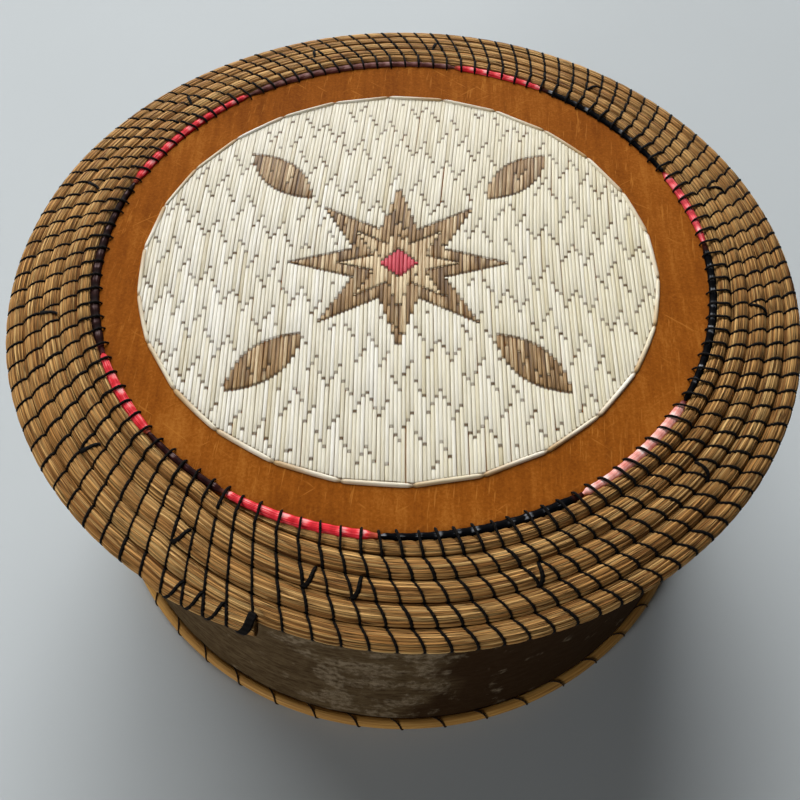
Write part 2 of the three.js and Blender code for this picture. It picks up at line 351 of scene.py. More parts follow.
def length_along(path: Array) -> Array:
    """How far each point of a path lies from its first one, (copies, rows)."""
    steps = np.linalg.norm(np.diff(path, axis=1), axis=-1)
    return np.concatenate([np.zeros((len(path), 1)), np.cumsum(steps, 1)], 1)


def tube_uv(path: Array, girth: float, sides: int) -> Array:
    """Surface coordinates of a tube: the length along it and the way round it, in metres.

    Args:
        path: Path points, (copies, rows, 3).
        girth: The way once round the tube.
        sides: Its number of sides.

    Returns:
        Coordinates of shape (copies, rows, sides + 1, 2).
    """
    return paired(length_along(path)[..., None], girth_steps(sides, girth))


# Materials


class Nodes:
    """Short ways to place and join the nodes of one tree."""

    def __init__(self, tree: Tree) -> None:
        """Takes the tree to work in."""
        self.tree = tree

    def add(
        self, kind: str, inputs: dict[str | int, object] | None = None, **settings: object
    ) -> Node:
        """Places a node.

        Args:
            kind: The node's type without its ShaderNode prefix, or the full type.
            inputs: Values or outputs for its inputs, by name or number.
            **settings: Properties of the node.

        Returns:
            The node.
        """
        full = kind if kind.startswith("Node") else "ShaderNode" + kind
        node = self.tree.nodes.new(full)
        for name, value in settings.items():
            setattr(node, name, value)
        for key, value in (inputs or {}).items():
            self.feed(node.inputs[key], value)
        return node

    def feed(self, socket: Socket, value: object) -> None:
        """Links an output to a socket, or sets the socket's own value.

        Args:
            socket: The input.
            value: An output, a number, a vector or a colour.
        """
        if isinstance(value, Socket):
            self.tree.links.new(value, socket)
        elif socket.type == "RGBA":
            socket.default_value = (*value, 1.0)
        else:
            socket.default_value = value

    def math(
        self, operation: str, first: object, second: object = 0.0, clamp: bool = False
    ) -> Socket:
        """The result of one Math node."""
        node = self.add("Math", {0: first, 1: second}, operation=operation, use_clamp=clamp)
        return node.outputs[0]

    def times(self, first: object, second: object) -> Socket:
        """Two values multiplied."""
        return self.math("MULTIPLY", first, second)

    def plus(self, first: object, second: object, clamp: bool = False) -> Socket:
        """Two values added."""
        return self.math("ADD", first, second, clamp)

    def mix(self, factor: object, first: object, second: object, blend: str = "MIX") -> Socket:
        """Two colours mixed by a factor."""
        node = self.add("Mix", {0: factor, 6: first, 7: second}, data_type="RGBA", blend_type=blend)
        return node.outputs[2]

    def ramp(self, factor: object, stops: Sequence[tuple[float, Colour]]) -> Socket:
        """A colour read from a ramp with the given stops.

        Args:
            factor: Where to read the ramp.
            stops: Places from 0 to 1 with their colours.

        Returns:
            The colour.
        """
        node = self.add("ValToRGB", {0: factor})
        elements = node.color_ramp.elements
        while len(elements) < len(stops):
            elements.new(1.0)
        for element, (place, colour) in zip(elements, stops):
            element.position = place
            element.color = (*colour, 1.0)
        return node.outputs[0]

    def span(
        self, value: object, low: float, high: float, to_low: float = 0.0, to_high: float = 1.0
    ) -> Socket:
        """A value mapped from one span to another, and clamped there.

        Args:
            value: The value.
            low: Where it maps to to_low.
            high: Where it maps to to_high.
            to_low: The result at and before low.
            to_high: The result at and after high.

        Returns:
            The mapped value.
        """
        inputs = {0: value, 1: low, 2: high, 3: to_low, 4: to_high}
        return self.add("MapRange", inputs, clamp=True).outputs[0]

    def noise(
        self, vector: object, scale: object, detail: float = 2.0, roughness: float = 0.5
    ) -> Socket:
        """The value of a Noise texture."""
        inputs = {"Vector": vector, "Scale": scale, "Detail": detail, "Roughness": roughness}
        return self.add("TexNoise", inputs).outputs[0]

    def mark(self, name: str) -> Socket:
        """A named point value of the piece."""
        return self.add("Attribute", attribute_name=name).outputs["Fac"]

    def surface(self) -> Socket:
        """The piece's own surface coordinates."""
        return self.add("UVMap", uv_map="surface").outputs[0]

    def place(self) -> Socket:
        """Where a point lies in the basket, in metres."""
        return self.add("TexCoord").outputs["Object"]


class Effects:
    """Shader groups that several finishes share, each built once."""

    groups: dict[str, Tree] = {}

    @classmethod
    def start(
        cls, name: str, inputs: dict[str, float], outputs: Sequence[str]
    ) -> tuple[Nodes, Node, Node]:
        """Starts a group with a Vector input, number inputs and number outputs.

        Args:
            name: The group's name.
            inputs: Its number inputs with their own values.
            outputs: Its outputs.

        Returns:
            The group's nodes, its input node and its output node.
        """
        tree = bpy.data.node_groups.new(name, "ShaderNodeTree")
        cls.groups[name] = tree
        tree.interface.new_socket("Vector", in_out="INPUT", socket_type="NodeSocketVector")
        for label, value in inputs.items():
            socket = tree.interface.new_socket(label, in_out="INPUT", socket_type="NodeSocketFloat")
            socket.default_value = value
        for label in outputs:
            tree.interface.new_socket(label, in_out="OUTPUT", socket_type="NodeSocketFloat")
        nodes = Nodes(tree)
        return nodes, nodes.add("NodeGroupInput"), nodes.add("NodeGroupOutput")

    @classmethod
    def fibres(cls) -> Tree:
        """Long fine fibres along the vector's first axis.

        Fibres is their number across a metre, and Stretch their length over their width. Two
        stretched noises, one three times finer, add up to Streak, and the finer one is Fine.

        Returns:
            The group's tree.
        """
        if "fibres" not in cls.groups:
            inputs = {"Fibres": 1500.0, "Stretch": 40.0}
            nodes, start, end = cls.start("fibres", inputs, ["Streak", "Fine"])
            axes = nodes.add("SeparateXYZ", {0: start.outputs["Vector"]})
            fibres = start.outputs["Fibres"]
            length = nodes.times(axes.outputs[0], fibres)
            along = nodes.math("DIVIDE", length, start.outputs["Stretch"])
            across = nodes.times(axes.outputs[1], fibres)
            depth = nodes.times(axes.outputs[2], fibres)
            vector = nodes.add("CombineXYZ", {0: along, 1: across, 2: depth}).outputs[0]
            broad = nodes.span(nodes.noise(vector, 1.0, 2.0), 0.3, 0.7)
            fine = nodes.span(nodes.noise(vector, 3.1, 1.0), 0.3, 0.7)
            mixed = nodes.plus(nodes.times(broad, 0.6), nodes.times(fine, 0.4))
            nodes.feed(end.inputs["Streak"], mixed)
            nodes.feed(end.inputs["Fine"], fine)
        return cls.groups["fibres"]

    @classmethod
    def straws(cls) -> Tree:
        """Separate straws along the vector's first axis.

        Straws is their number across a metre, and Stretch their length over their width. Tone is
        each straw's own value, and Gap is 1 in the lines between them.

        Returns:
            The group's tree.
        """
        if "straws" not in cls.groups:
            inputs = {"Straws": 1400.0, "Stretch": 40.0}
            nodes, start, end = cls.start("straws", inputs, ["Tone", "Gap"])
            axes = nodes.add("SeparateXYZ", {0: start.outputs["Vector"]})
            straws = start.outputs["Straws"]
            length = nodes.times(axes.outputs[0], straws)
            along = nodes.math("DIVIDE", length, start.outputs["Stretch"])
            across = nodes.times(axes.outputs[1], straws)
            vector = nodes.add("CombineXYZ", {0: along, 1: across}).outputs[0]
            cells = {"Vector": vector, "Scale": 1.0, "Randomness": 0.9}
            own = nodes.add("TexVoronoi", cells, voronoi_dimensions="2D")
            tone = nodes.add("SeparateColor", {0: own.outputs["Color"]}).outputs[0]
            edge = nodes.add(
                "TexVoronoi", cells, voronoi_dimensions="2D", feature="DISTANCE_TO_EDGE"
            )
            gap = nodes.span(edge.outputs["Distance"], 0.01, 0.16, 1.0, 0.0)
            nodes.feed(end.inputs["Tone"], tone)
            nodes.feed(end.inputs["Gap"], gap)
        return cls.groups["straws"]

    @classmethod
    def patches(cls) -> Tree:
        """Soft irregular patches.

        Patches is their number across a metre. Amount is the share that they cover, and Edge how
        softly they end. Mask is 1 inside them.

        Returns:
            The group's tree.
        """
        if "patches" not in cls.groups:
            inputs = {"Patches": 40.0, "Amount": 0.5, "Edge": 0.1}
            nodes, start, end = cls.start("patches", inputs, ["Mask"])
            noise = nodes.noise(start.outputs["Vector"], start.outputs["Patches"], 5.0, 0.6)
            level = nodes.math("SUBTRACT", 1.0, start.outputs["Amount"])
            raised = nodes.math("SUBTRACT", nodes.span(noise, 0.25, 0.75), level)
            steep = nodes.math("DIVIDE", raised, start.outputs["Edge"])
            nodes.feed(end.inputs["Mask"], nodes.plus(steep, 0.5, clamp=True))
        return cls.groups["patches"]


@dataclass(frozen=True)
class Finish:
    """What every finish has: the record's slot and plain values of the surface."""

    slot: str = ""
    roughness: float = 0.6
    specular: float = 0.5

    @property
    def name(self) -> str:
        """The material's name."""
        return type(self).__name__ + "_" + self.slot

    def material(self) -> bpy.types.Material:
        """The finish as a material, made the first time that it is asked for.

        Returns:
            The material.
        """
        known = bpy.data.materials.get(self.name)
        if known:
            return known
        material = bpy.data.materials.new(self.name)
        material.use_nodes = True
        nodes = Nodes(material.node_tree)
        shader = material.node_tree.nodes["Principled BSDF"]
        shader.inputs["Roughness"].default_value = self.roughness
        shader.inputs["Specular IOR Level"].default_value = self.specular
        self.paint(nodes, shader)
        return material

    def paint(self, nodes: Nodes, shader: Node) -> None:
        """Feeds the shader; each finish says how.

        Args:
            nodes: The material's nodes.
            shader: The material's shader.
        """
        raise NotImplementedError

    def group(self, nodes: Nodes, tree: Tree, **values: object) -> Node:
        """Places a shared effect with its own values.

        Args:
            nodes: The material's nodes.
            tree: The effect's group.
            **values: Values for its inputs.

        Returns:
            The placed group.
        """
        node = nodes.add("Group")
        node.node_tree = tree
        for label, value in values.items():
            nodes.feed(node.inputs[label], value)
        return node

    def relief(self, nodes: Nodes, shader: Node, height: object, depth: float) -> None:
        """Gives the shader a bump of the given depth in metres from a height of 0 to 1.

        Args:
            nodes: The material's nodes.
            shader: The material's shader.
            height: A value from 0 to 1.
            depth: How deep that is, in metres.
        """
        bump = nodes.add("Bump", {"Height": height, "Distance": depth, "Strength": 1.0})
        nodes.feed(shader.inputs["Normal"], bump.outputs[0])


@dataclass(frozen=True)
class Sweetgrass(Finish):
    """Dried blades of grass laid along the bundle."""

    slot: str = "sweetgrass"
    roughness: float = 0.55
    specular: float = 0.05
    dark: Colour = (0.220, 0.089, 0.024)
    middle: Colour = (0.695, 0.367, 0.115)
    pale: Colour = (0.90, 0.585, 0.23)
    # the colour of the painted shade in the gaps between straws, the furrows and under the thread
    crevice_shade: Colour = (0.016, 0.006, 0.002)
    blade_tint: Colour = (0.74, 0.62, 0.52)
    fibres: float = 2300.0
    stretch: float = 55.0
    straws: float = 2700.0
    straw_stretch: float = 62.0
    depth: float = 0.22 * MM

    def paint(self, nodes: Nodes, shader: Node) -> None:
        """Blades of several browns, with painted shade in hairline gaps, furrows and under the thread.

        Args:
            nodes: The material's nodes.
            shader: The material's shader.
        """
        surface = nodes.surface()
        blades = self.group(
            nodes, Effects.fibres(), Vector=surface, Fibres=self.fibres, Stretch=self.stretch
        )
        straws = self.group(
            nodes, Effects.straws(), Vector=surface, Straws=self.straws, Stretch=self.straw_stretch
        )
        own = nodes.times(straws.outputs["Tone"], 0.62)
        tone = nodes.plus(own, nodes.times(blades.outputs["Streak"], 0.40))
        stops = [(0.12, self.dark), (0.5, self.middle), (0.92, self.pale)]
        colour = nodes.ramp(tone, stops)
        wide = self.group(nodes, Effects.fibres(), Vector=surface, Fibres=430.0, Stretch=24.0)
        shade = nodes.span(wide.outputs["Streak"], 0.25, 0.75, 0.7, 0.0)
        tinted = nodes.mix(shade, colour, self.blade_tint, "MULTIPLY")
        partly = nodes.span(blades.outputs["Fine"], 0.2, 0.8, 1.0, 0.4)
        gap = nodes.times(straws.outputs["Gap"], partly)
        # painted shade: the furrow mark read here and the gaps between straws pull the colour towards
        # the dark crevice colour
        dips = nodes.times(nodes.mark("furrow_shade"), 0.85)
        furrow_shade = nodes.math("MAXIMUM", dips, nodes.times(gap, 0.92))
        nodes.feed(shader.inputs["Base Color"], nodes.mix(furrow_shade, tinted, self.crevice_shade))
        relief = nodes.math("SUBTRACT", blades.outputs["Streak"], gap)
        self.relief(nodes, shader, relief, self.depth)


@dataclass(frozen=True)
class Thread(Finish):
    """Twisted sewing thread."""

    roughness: float = 0.75
    specular: float = 0.05
    colour: Colour = (0.0025, 0.002, 0.0018)
    lit: Colour = (0.008, 0.0065, 0.0055)
    twists: float = 900.0
    depth: float = 0.06 * MM

    def paint(self, nodes: Nodes, shader: Node) -> None:
        """Slanting bands along the thread, one for each twist, each with a painted highlight.

        Args:
            nodes: The material's nodes.
            shader: The material's shader.
        """
        axes = nodes.add("SeparateXYZ", {0: nodes.surface()})
        slanted = nodes.plus(axes.outputs[0], axes.outputs[1])
        wave = nodes.math("SINE", nodes.times(slanted, self.twists * FULL_TURN))
        band = nodes.span(wave, -1, 1)
        nodes.feed(shader.inputs["Base Color"], nodes.mix(band, self.colour, self.lit))
        self.relief(nodes, shader, band, self.depth)


@dataclass(frozen=True)
class InnerBark(Finish):
    """The smooth inner side of birch bark."""

    slot: str = "inner_bark"
    roughness: float = 0.8
    specular: float = 0.03
    deep: Colour = (0.185, 0.048, 0.0042)
    main: Colour = (0.280, 0.079, 0.0070)
    light: Colour = (0.45, 0.160, 0.022)
    scratches: tuple[tuple[float, float, float], ...] = (
        (97, 0.73, 900.0), (38, 0.82, 620.0), (-33, 0.82, 540.0),
    )
    scratch_share: float = 0.72
    depth: float = 0.05 * MM

    def paint(self, nodes: Nodes, shader: Node) -> None:
        """Faint marks along Y, soft clouds, fine specks and a few pale scratches each way.

        Args:
            nodes: The material's nodes.
            shader: The material's shader.
        """
        place = nodes.place()
        along = self.turned(nodes, place, 90)
        bands = self.group(nodes, Effects.fibres(), Vector=along, Fibres=330.0, Stretch=12.0)
        cloud = self.group(
            nodes, Effects.patches(), Vector=place, Patches=32.0, Amount=0.5, Edge=0.9
        )
        speck = nodes.noise(place, 1500.0, 3.0, 0.6)
        soft = nodes.times(cloud.outputs["Mask"], 0.36)
        tone = nodes.plus(nodes.times(bands.outputs["Streak"], 0.34), soft)
        tone = nodes.plus(tone, nodes.times(nodes.span(speck, 0.3, 0.7), 0.30))
        colour = nodes.ramp(tone, [(0.2, self.deep), (0.52, self.main), (0.95, self.light)])
        worn = self.group(
            nodes, Effects.patches(), Vector=place, Patches=46.0, Amount=0.58, Edge=0.4
        )
        for turn, level, count in self.scratches:
            fine = self.turned(nodes, place, turn)
            marks = self.group(nodes, Effects.fibres(), Vector=fine, Fibres=count, Stretch=11.0)
            scratch = nodes.span(marks.outputs["Streak"], level, level + 0.12)
            shown = nodes.times(scratch, worn.outputs["Mask"])
            colour = nodes.mix(nodes.times(shown, self.scratch_share), colour, self.light)
        nodes.feed(shader.inputs["Base Color"], colour)
        self.relief(nodes, shader, tone, self.depth)

    def turned(self, nodes: Nodes, vector: object, degrees: float) -> Socket:
        """The vector turned about Z, so that marks lie in another direction."""
        inputs = {"Vector": vector, "Rotation": (0, 0, math.radians(degrees))}
        return nodes.add("Mapping", inputs).outputs[0]


@dataclass(frozen=True)
class PlainBark(InnerBark):
    """The lighter, duller bark of the linings and the floor."""

    slot: str = "lining_bark"
    deep: Colour = (0.25, 0.115, 0.035)
    main: Colour = (0.36, 0.18, 0.062)
    light: Colour = (0.46, 0.25, 0.10)
    depth: float = 0.15 * MM


@dataclass(frozen=True)
class OuterBark(Finish):
    """The rough grey outer side of the wall's bark, with pale lichen, and its tan inner side."""

    slot: str = "outer_bark"
    roughness: float = 0.9
    specular: float = 0.03
    deep: Colour = (0.036, 0.020, 0.009)
    main: Colour = (0.088, 0.057, 0.027)
    light: Colour = (0.155, 0.108, 0.056)
    lichen: Colour = (0.295, 0.226, 0.146)
    # the dark colour of damp bark and of painted shade on the wall
    damp_and_shade_colour: Colour = (0.020, 0.008, 0.0025)
    inside: Colour = (0.34, 0.165, 0.055)
    inside_light: Colour = (0.45, 0.25, 0.10)
    depth: float = 0.25 * MM

    def paint(self, nodes: Nodes, shader: Node) -> None:
        """Level streaks round the wall, dark damp and painted shade, and lichen broken up at its
        edges.

        Args:
            nodes: The material's nodes.
            shader: The material's shader.
        """
        surface = nodes.surface()
        level = self.group(nodes, Effects.fibres(), Vector=surface, Fibres=420.0, Stretch=4.5)
        flat = nodes.add("Mapping", {"Vector": surface, "Scale": (0.55, 1.0, 1.0)}).outputs[0]
        grit = nodes.span(nodes.noise(flat, 480.0, 5.0, 0.72), 0.25, 0.75)
        fibre = nodes.times(level.outputs["Streak"], 0.45)
        tone = nodes.plus(fibre, nodes.times(grit, 0.55))
        colour = nodes.ramp(tone, [(0.15, self.deep), (0.5, self.main), (0.85, self.light)])
        damp = self.group(
            nodes, Effects.patches(), Vector=surface, Patches=22.0, Amount=0.5, Edge=0.7
        )
        # darker in an arc at the wall's front right, under the brim: partly the bark's own darker
        # colour, partly painted shade; random damp patches add to it
        damp_and_shade_mask = nodes.plus(nodes.times(damp.outputs["Mask"], 0.4), nodes.mark("damp"), clamp=True)
        damp_and_shaded = nodes.mix(nodes.times(damp_and_shade_mask, 0.88), colour, self.damp_and_shade_colour)
        wide = nodes.add("Mapping", {"Vector": surface, "Scale": (0.85, 0.8, 1.0)}).outputs[0]
        spread = nodes.plus(0.20, nodes.times(nodes.mark("crust"), 0.30))
        crust = self.group(
            nodes, Effects.patches(), Vector=wide, Patches=120.0, Amount=spread, Edge=0.16
        )
        speck = self.group(
            nodes, Effects.patches(), Vector=wide, Patches=520.0, Amount=0.52, Edge=0.5
        )
        lichen = nodes.times(crust.outputs["Mask"], speck.outputs["Mask"])
        shown = nodes.times(lichen, nodes.math("SUBTRACT", 1.0, nodes.mark("inside")))
        crusted = nodes.mix(nodes.times(shown, 0.58), damp_and_shaded, self.lichen)
        tan = nodes.mix(nodes.times(level.outputs["Streak"], 0.4), self.inside, self.inside_light)
        nodes.feed(shader.inputs["Base Color"], nodes.mix(nodes.mark("inside"), crusted, tan))
        rough = nodes.plus(nodes.times(grit, 0.6), shown)
        self.relief(nodes, shader, rough, self.depth)


@dataclass(frozen=True)
class HoopWood(Finish):
    """A smooth split rod, honey coloured."""

    slot: str = "hoop_wood"
    roughness: float = 0.6
    specular: float = 0.2
    dark: Colour = (0.28, 0.13, 0.030)
    main: Colour = (0.53, 0.270, 0.062)
    pale: Colour = (0.68, 0.40, 0.115)
    depth: float = 0.06 * MM

    def paint(self, nodes: Nodes, shader: Node) -> None:
        """Grain along the rod, with darker stretches.

        Args:
            nodes: The material's nodes.
            shader: The material's shader.
        """
        grain = self.group(
            nodes, Effects.fibres(), Vector=nodes.surface(), Fibres=1500.0, Stretch=60.0
        )
        stops = [(0.1, self.dark), (0.5, self.main), (0.9, self.pale)]
        colour = nodes.ramp(grain.outputs["Streak"], stops)
        drift = self.group(
            nodes, Effects.patches(), Vector=nodes.place(), Patches=18.0, Amount=0.5, Edge=0.7
        )
        faded = nodes.mix(nodes.times(drift.outputs["Mask"], 0.5), colour, self.dark)
        nodes.feed(shader.inputs["Base Color"], faded)
        self.relief(nodes, shader, grain.outputs["Fine"], self.depth)


@dataclass(frozen=True)
class Quill(Finish):
    """A flattened quill: fine lengthwise streaks, a painted crown highlight, and dark where it is
    tucked in.
    """

    roughness: float = 0.42
    specular: float = 0.22
    shade: Colour = (0.47, 0.375, 0.19)
    main: Colour = (0.80, 0.75, 0.60)
    pale: Colour = (0.92, 0.89, 0.80)
    aged: Colour = (0.72, 0.63, 0.38)
    # the colour of the tucked ends and of the pinches under stitches: the quill's dark tip and painted
    # shade
    tuck_shade: Colour = (0.060, 0.034, 0.010)
    streak_share: float = 0.3
    depth: float = 0.04 * MM

    def paint(self, nodes: Nodes, shader: Node) -> None:
        """The tone of each quill is its own, with painted highlight and shade, and its ends darken
        into the bark.

        Args:
            nodes: The material's nodes.
            shader: The material's shader.
        """
        streaks = self.group(
            nodes, Effects.fibres(), Vector=nodes.surface(), Fibres=3000.0, Stretch=30.0
        )
        tone = nodes.mark("tone")
        centred = nodes.math("SUBTRACT", streaks.outputs["Streak"], 0.5)
        value = nodes.times(centred, self.streak_share * 2)
        stops = [(0.0, self.shade), (0.5, self.main), (1.0, self.pale)]
        colour = nodes.ramp(nodes.plus(tone, value), stops)
        yellowed = nodes.mix(nodes.mark("age"), colour, self.aged)
        # the ends darken where the quill dives into the bark or under a stitch: its dark tip and
        # painted shade
        nodes.feed(shader.inputs["Base Color"], nodes.mix(nodes.mark("tuck_shade"), yellowed, self.tuck_shade))
        self.relief(nodes, shader, streaks.outputs["Streak"], self.depth)


@dataclass(frozen=True)
class Dye(Quill):
    """A quill with a glossy dyed skin, streaked, with painted glints along its crown."""

    roughness: float = 0.35
    specular: float = 0.03
    streak_share: float = 0.5
    level: float = 0.40
    label: str = ""

    @property
    def name(self) -> str:
        """The material's name, with the dye's own label."""
        return "Dye_" + self.label


CREAM = Quill(slot="cream_quill", tuck_shade=(0.110, 0.057, 0.014))
BORDER = Quill(
    slot="border_quill",
    shade=(0.46, 0.33, 0.18),
    main=(0.76, 0.68, 0.49),
    pale=(0.90, 0.86, 0.74),
    aged=(0.50, 0.32, 0.14),
)
BROWN = Quill(
    slot="brown_quill",
    shade=(0.085, 0.040, 0.010),
    main=(0.360, 0.205, 0.075),
    pale=(0.80, 0.65, 0.41),
    aged=(0.095, 0.046, 0.012),
    streak_share=0.45,
)
HEART = Quill(
    slot="red_quill",
    shade=(0.33, 0.012, 0.028),
    main=(0.58, 0.035, 0.062),
    pale=(0.78, 0.17, 0.19),
    aged=(0.30, 0.02, 0.03),
)
RED_SLOT = "red_wrap"
DARK_SLOT = "dark_wrap"
BLACK_DYE = Dye(
    slot=DARK_SLOT, label="black", level=0.27, streak_share=0.25, specular=0.004,
    shade=(0.0015, 0.0015, 0.002), main=(0.005, 0.005, 0.006),
    pale=(0.31, 0.32, 0.34), aged=(0.05, 0.012, 0.008), tuck_shade=(0.003, 0.003, 0.003),
)
PURPLE_DYE = Dye(
    slot=DARK_SLOT, label="purple", level=0.17, streak_share=0.35, specular=0.015,
    shade=(0.008, 0.0025, 0.002), main=(0.028, 0.009, 0.008),
    pale=(0.30, 0.21, 0.20), aged=(0.06, 0.012, 0.012), tuck_shade=(0.006, 0.003, 0.003),
)
WINE_DYE = Dye(
    slot=DARK_SLOT, label="wine", shade=(0.070, 0.018, 0.014), main=(0.150, 0.046, 0.038),
    pale=(0.34, 0.19, 0.17), aged=(0.10, 0.03, 0.02), tuck_shade=(0.03, 0.010, 0.008),
)
MAROON_DYE = Dye(
    slot=DARK_SLOT, label="maroon", level=0.19, streak_share=0.35, specular=0.015,
    shade=(0.012, 0.003, 0.003), main=(0.040, 0.010, 0.009),
    pale=(0.38, 0.27, 0.25), aged=(0.10, 0.03, 0.02), tuck_shade=(0.01, 0.004, 0.003),
)
RED_DYE = Dye(
    slot=RED_SLOT, label="red", shade=(0.56, 0.010, 0.018), main=(0.92, 0.040, 0.058),
    pale=(1.0, 0.42, 0.40), aged=(0.42, 0.075, 0.035), tuck_shade=(0.12, 0.010, 0.010),
)
ROSE_DYE = Dye(
    slot=RED_SLOT, label="rose", shade=(0.58, 0.024, 0.036), main=(0.96, 0.105, 0.125),
    pale=(1.0, 0.54, 0.52), aged=(0.30, 0.02, 0.02), tuck_shade=(0.12, 0.012, 0.012),
)
SALMON_DYE = Dye(
    slot=RED_SLOT, label="salmon", level=0.5, shade=(0.80, 0.20, 0.155), main=(1.0, 0.44, 0.37),
    pale=(1.0, 0.80, 0.75), aged=(0.14, 0.012, 0.010), tuck_shade=(0.20, 0.05, 0.04),
)
COIL_THREAD = Thread(slot="black_thread")
HOOP_THREAD = Thread(slot="brown_thread", colour=(0.020, 0.012, 0.007), lit=(0.055, 0.034, 0.020))


def dress(piece: bpy.types.Object, finish: Finish, body: Body, *nodes: str) -> bpy.types.Object:
    """Gives a piece its finish, its body and the nodes that it stands for.

    Args:
        piece: The finished mesh object.
        finish: Its finish.
        body: The body that it rides on.
        *nodes: The frame's nodes that it replaces.

    Returns:
        The piece.
    """
    piece.data.materials.append(finish.material())
    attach(piece, body.value)
    if nodes:
        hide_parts(*nodes)
    faces = sum(len(polygon.vertices) - 2 for polygon in piece.data.polygons)
    LOG.info("%s: %d triangles on %s", piece.name, faces, body.value)
    return piece


def lay(name: str, grid: Grid, finish: Finish, body: Body, *nodes: str) -> bpy.types.Object:
    """Makes a piece of one grid and dresses it, as dress() says.

    Args:
        name: The piece's name.
        grid: Its grid.
        finish: Its finish.
        body: The body that it rides on.
        *nodes: The nodes that it replaces.

    Returns:
        The dressed piece.
    """
    return dress(Piece(name).add(grid).build(), finish, body, *nodes)


# The brim


@dataclass(frozen=True)
class Brim:
    """The sweetgrass coil and its sewing thread, which reaches over the quills at the bark's edge."""

    face_height: float = 107 * MM
    inner_radius: float = 88.9 * MM
    first_row_width: float = 4.3 * MM
    row_width: float = 5.3 * MM
    row_count: int = 5
    half_thickness: float = 2.3 * MM
    first_row_drop: float = 1.35 * MM
    last_row_drop: float = 7.15 * MM
    even_fall_share: float = 0.79
    start_angle: float = math.radians(-109)
    row_step_share: float = 0.15
    row_step_lead: float = 1 / 24
    row_step_ease: float = 2.5
    stitches_per_turn: int = 117
    first_line_angle: float = math.radians(-175.67)
    spacing_waves: tuple[tuple[float, float], ...] = ((2.37, 107.0), (1.26, 147.0), (0.41, 170.0))
    pulled_back: float = math.radians(1.15)
    pulled_middle: float = math.radians(-114)
    pulled_width: float = math.radians(7.5)
    line_radius: float = 96.5 * MM
    lean_mean: float = math.radians(0.23) / MM
    lean_swing: float = math.radians(0.10) / MM
    lean_middle: float = math.radians(-25)
    ring_places: tuple[float, ...] = (0.0, 0.14, 0.5, 0.86)
    least_step: float = 0.05
    blade_count: int = 14
    blade_profile: tuple[float, ...] = (-1.0, 0.35, 0.65)
    blade_depth: float = 0.16 * MM
    twist: float = 0.10
    notch_share: float = 0.12
    notch_length: float = 0.09
    bulge_share: float = 0.02
    cut_shade: float = 0.8
    core_share: float = 0.3
    thread_half_width: float = 0.40 * MM
    thread_half_height: float = 0.30 * MM
    thread_girth: float = 1.9 * MM
    thread_sides: int = 5
    loop_points: int = 14
    looseness: float = 0.16
    edge_stitch_radii: tuple[float, ...] = (
        86.2, 86.5, 87.0, 87.8, 88.8, 89.8, 90.7, 91.7, 92.6, 93.2, 93.5,
    )
    edge_stitch_heights: tuple[float, ...] = (
        -0.3, 0.3, 0.85, 1.2, 1.25, 1.12, 1.15, 1.15, 0.75, -0.25, -1.4,
    )
    short_side: float = math.radians(50)
    thread_end_degrees: tuple[float, ...] = (
        -142.5, -123.5, -103.3, -98, -73.3, -42, -11, 18, 51, 82, 107, 133, 161, 191,
    )
    tie_places: tuple[float, ...] = (0.32, 0.38, 0.44, 0.50)
    early_start: float = math.radians(13.5)
    late_end: float = math.radians(1.2)
    end_width_share: float = 0.82
    end_spread: float = 0.16

    def row_edge(self, row: Array) -> Array:
        """The radius at the outer edge of a row, counted from 0 at the brim's inner edge."""
        first = self.first_row_width * np.minimum(row, 1)
        return self.inner_radius + first + self.row_width * np.maximum(row - 1, 0)

    def dome(self, radius: Array) -> tuple[Array, Array]:
        """The height of the rows' middles and the dome's slope at a radius.

        The height falls by a straight and a squared share of the way from the first row to the
        last, and the slope is the angle of that fall.

        Args:
            radius: The radius.

        Returns:
            The height and the slope.
        """
        first = (self.row_edge(0) + self.row_edge(1)) / 2
        last = (self.row_edge(self.row_count - 1) + self.row_edge(self.row_count)) / 2
        way = (radius - first) / (last - first)
        even, fall = self.even_fall_share, self.last_row_drop - self.first_row_drop
        height = self.face_height - self.first_row_drop - fall * (even * way + (1 - even) * way**2)
        rate = even + 2 * (1 - even) * way
        return height, np.arctan(fall * rate / (last - first))

    def edges(self, angle: Array) -> tuple[Array, Array]:
        """The inner and outer radius of the bundle at an angle counted on through its turns.

        Once a turn the bundle steps outwards by a row, fast at first and then slowly.

        Args:
            angle: The angle, counted on.

        Returns:
            The two radii.
        """
        turns = (angle - self.start_angle) / FULL_TURN + self.row_step_lead
        whole = np.floor(turns)
        way = np.clip((turns - whole) / self.row_step_share, 0, 1)
        outer_row = whole + 1 - (1 - way) ** self.row_step_ease
        outer = self.row_edge(np.minimum(outer_row, self.row_count + self.end_spread))
        return self.row_edge(np.clip(outer_row - 1, 0, self.row_count - self.end_width_share)), outer

    def line_angle(self, stitch: Array) -> Array:
        """The angle of a stitch line on the second row.

        The lines' even spacing drifts slowly round the brim, and near the bundle's end they are
        pulled back, most in the middle of that stretch.

        Args:
            stitch: The stitch's number along the bundle.

        Returns:
            The angle.
        """
        way = FULL_TURN * stitch / self.stitches_per_turn
        angle = self.first_line_angle + way
        for count, (swing, phase) in enumerate(self.spacing_waves, 1):
            angle = angle + math.radians(swing) * np.cos(count * way - math.radians(phase))
        away = (angle - self.pulled_middle + math.pi) % FULL_TURN - math.pi
        return angle - self.pulled_back * np.exp(-((away / self.pulled_width) ** 2))

    def lean(self, angle: Array) -> Array:
        """How far a line turns for each metre outwards."""
        return self.lean_mean + self.lean_swing * np.cos(angle - self.lean_middle)

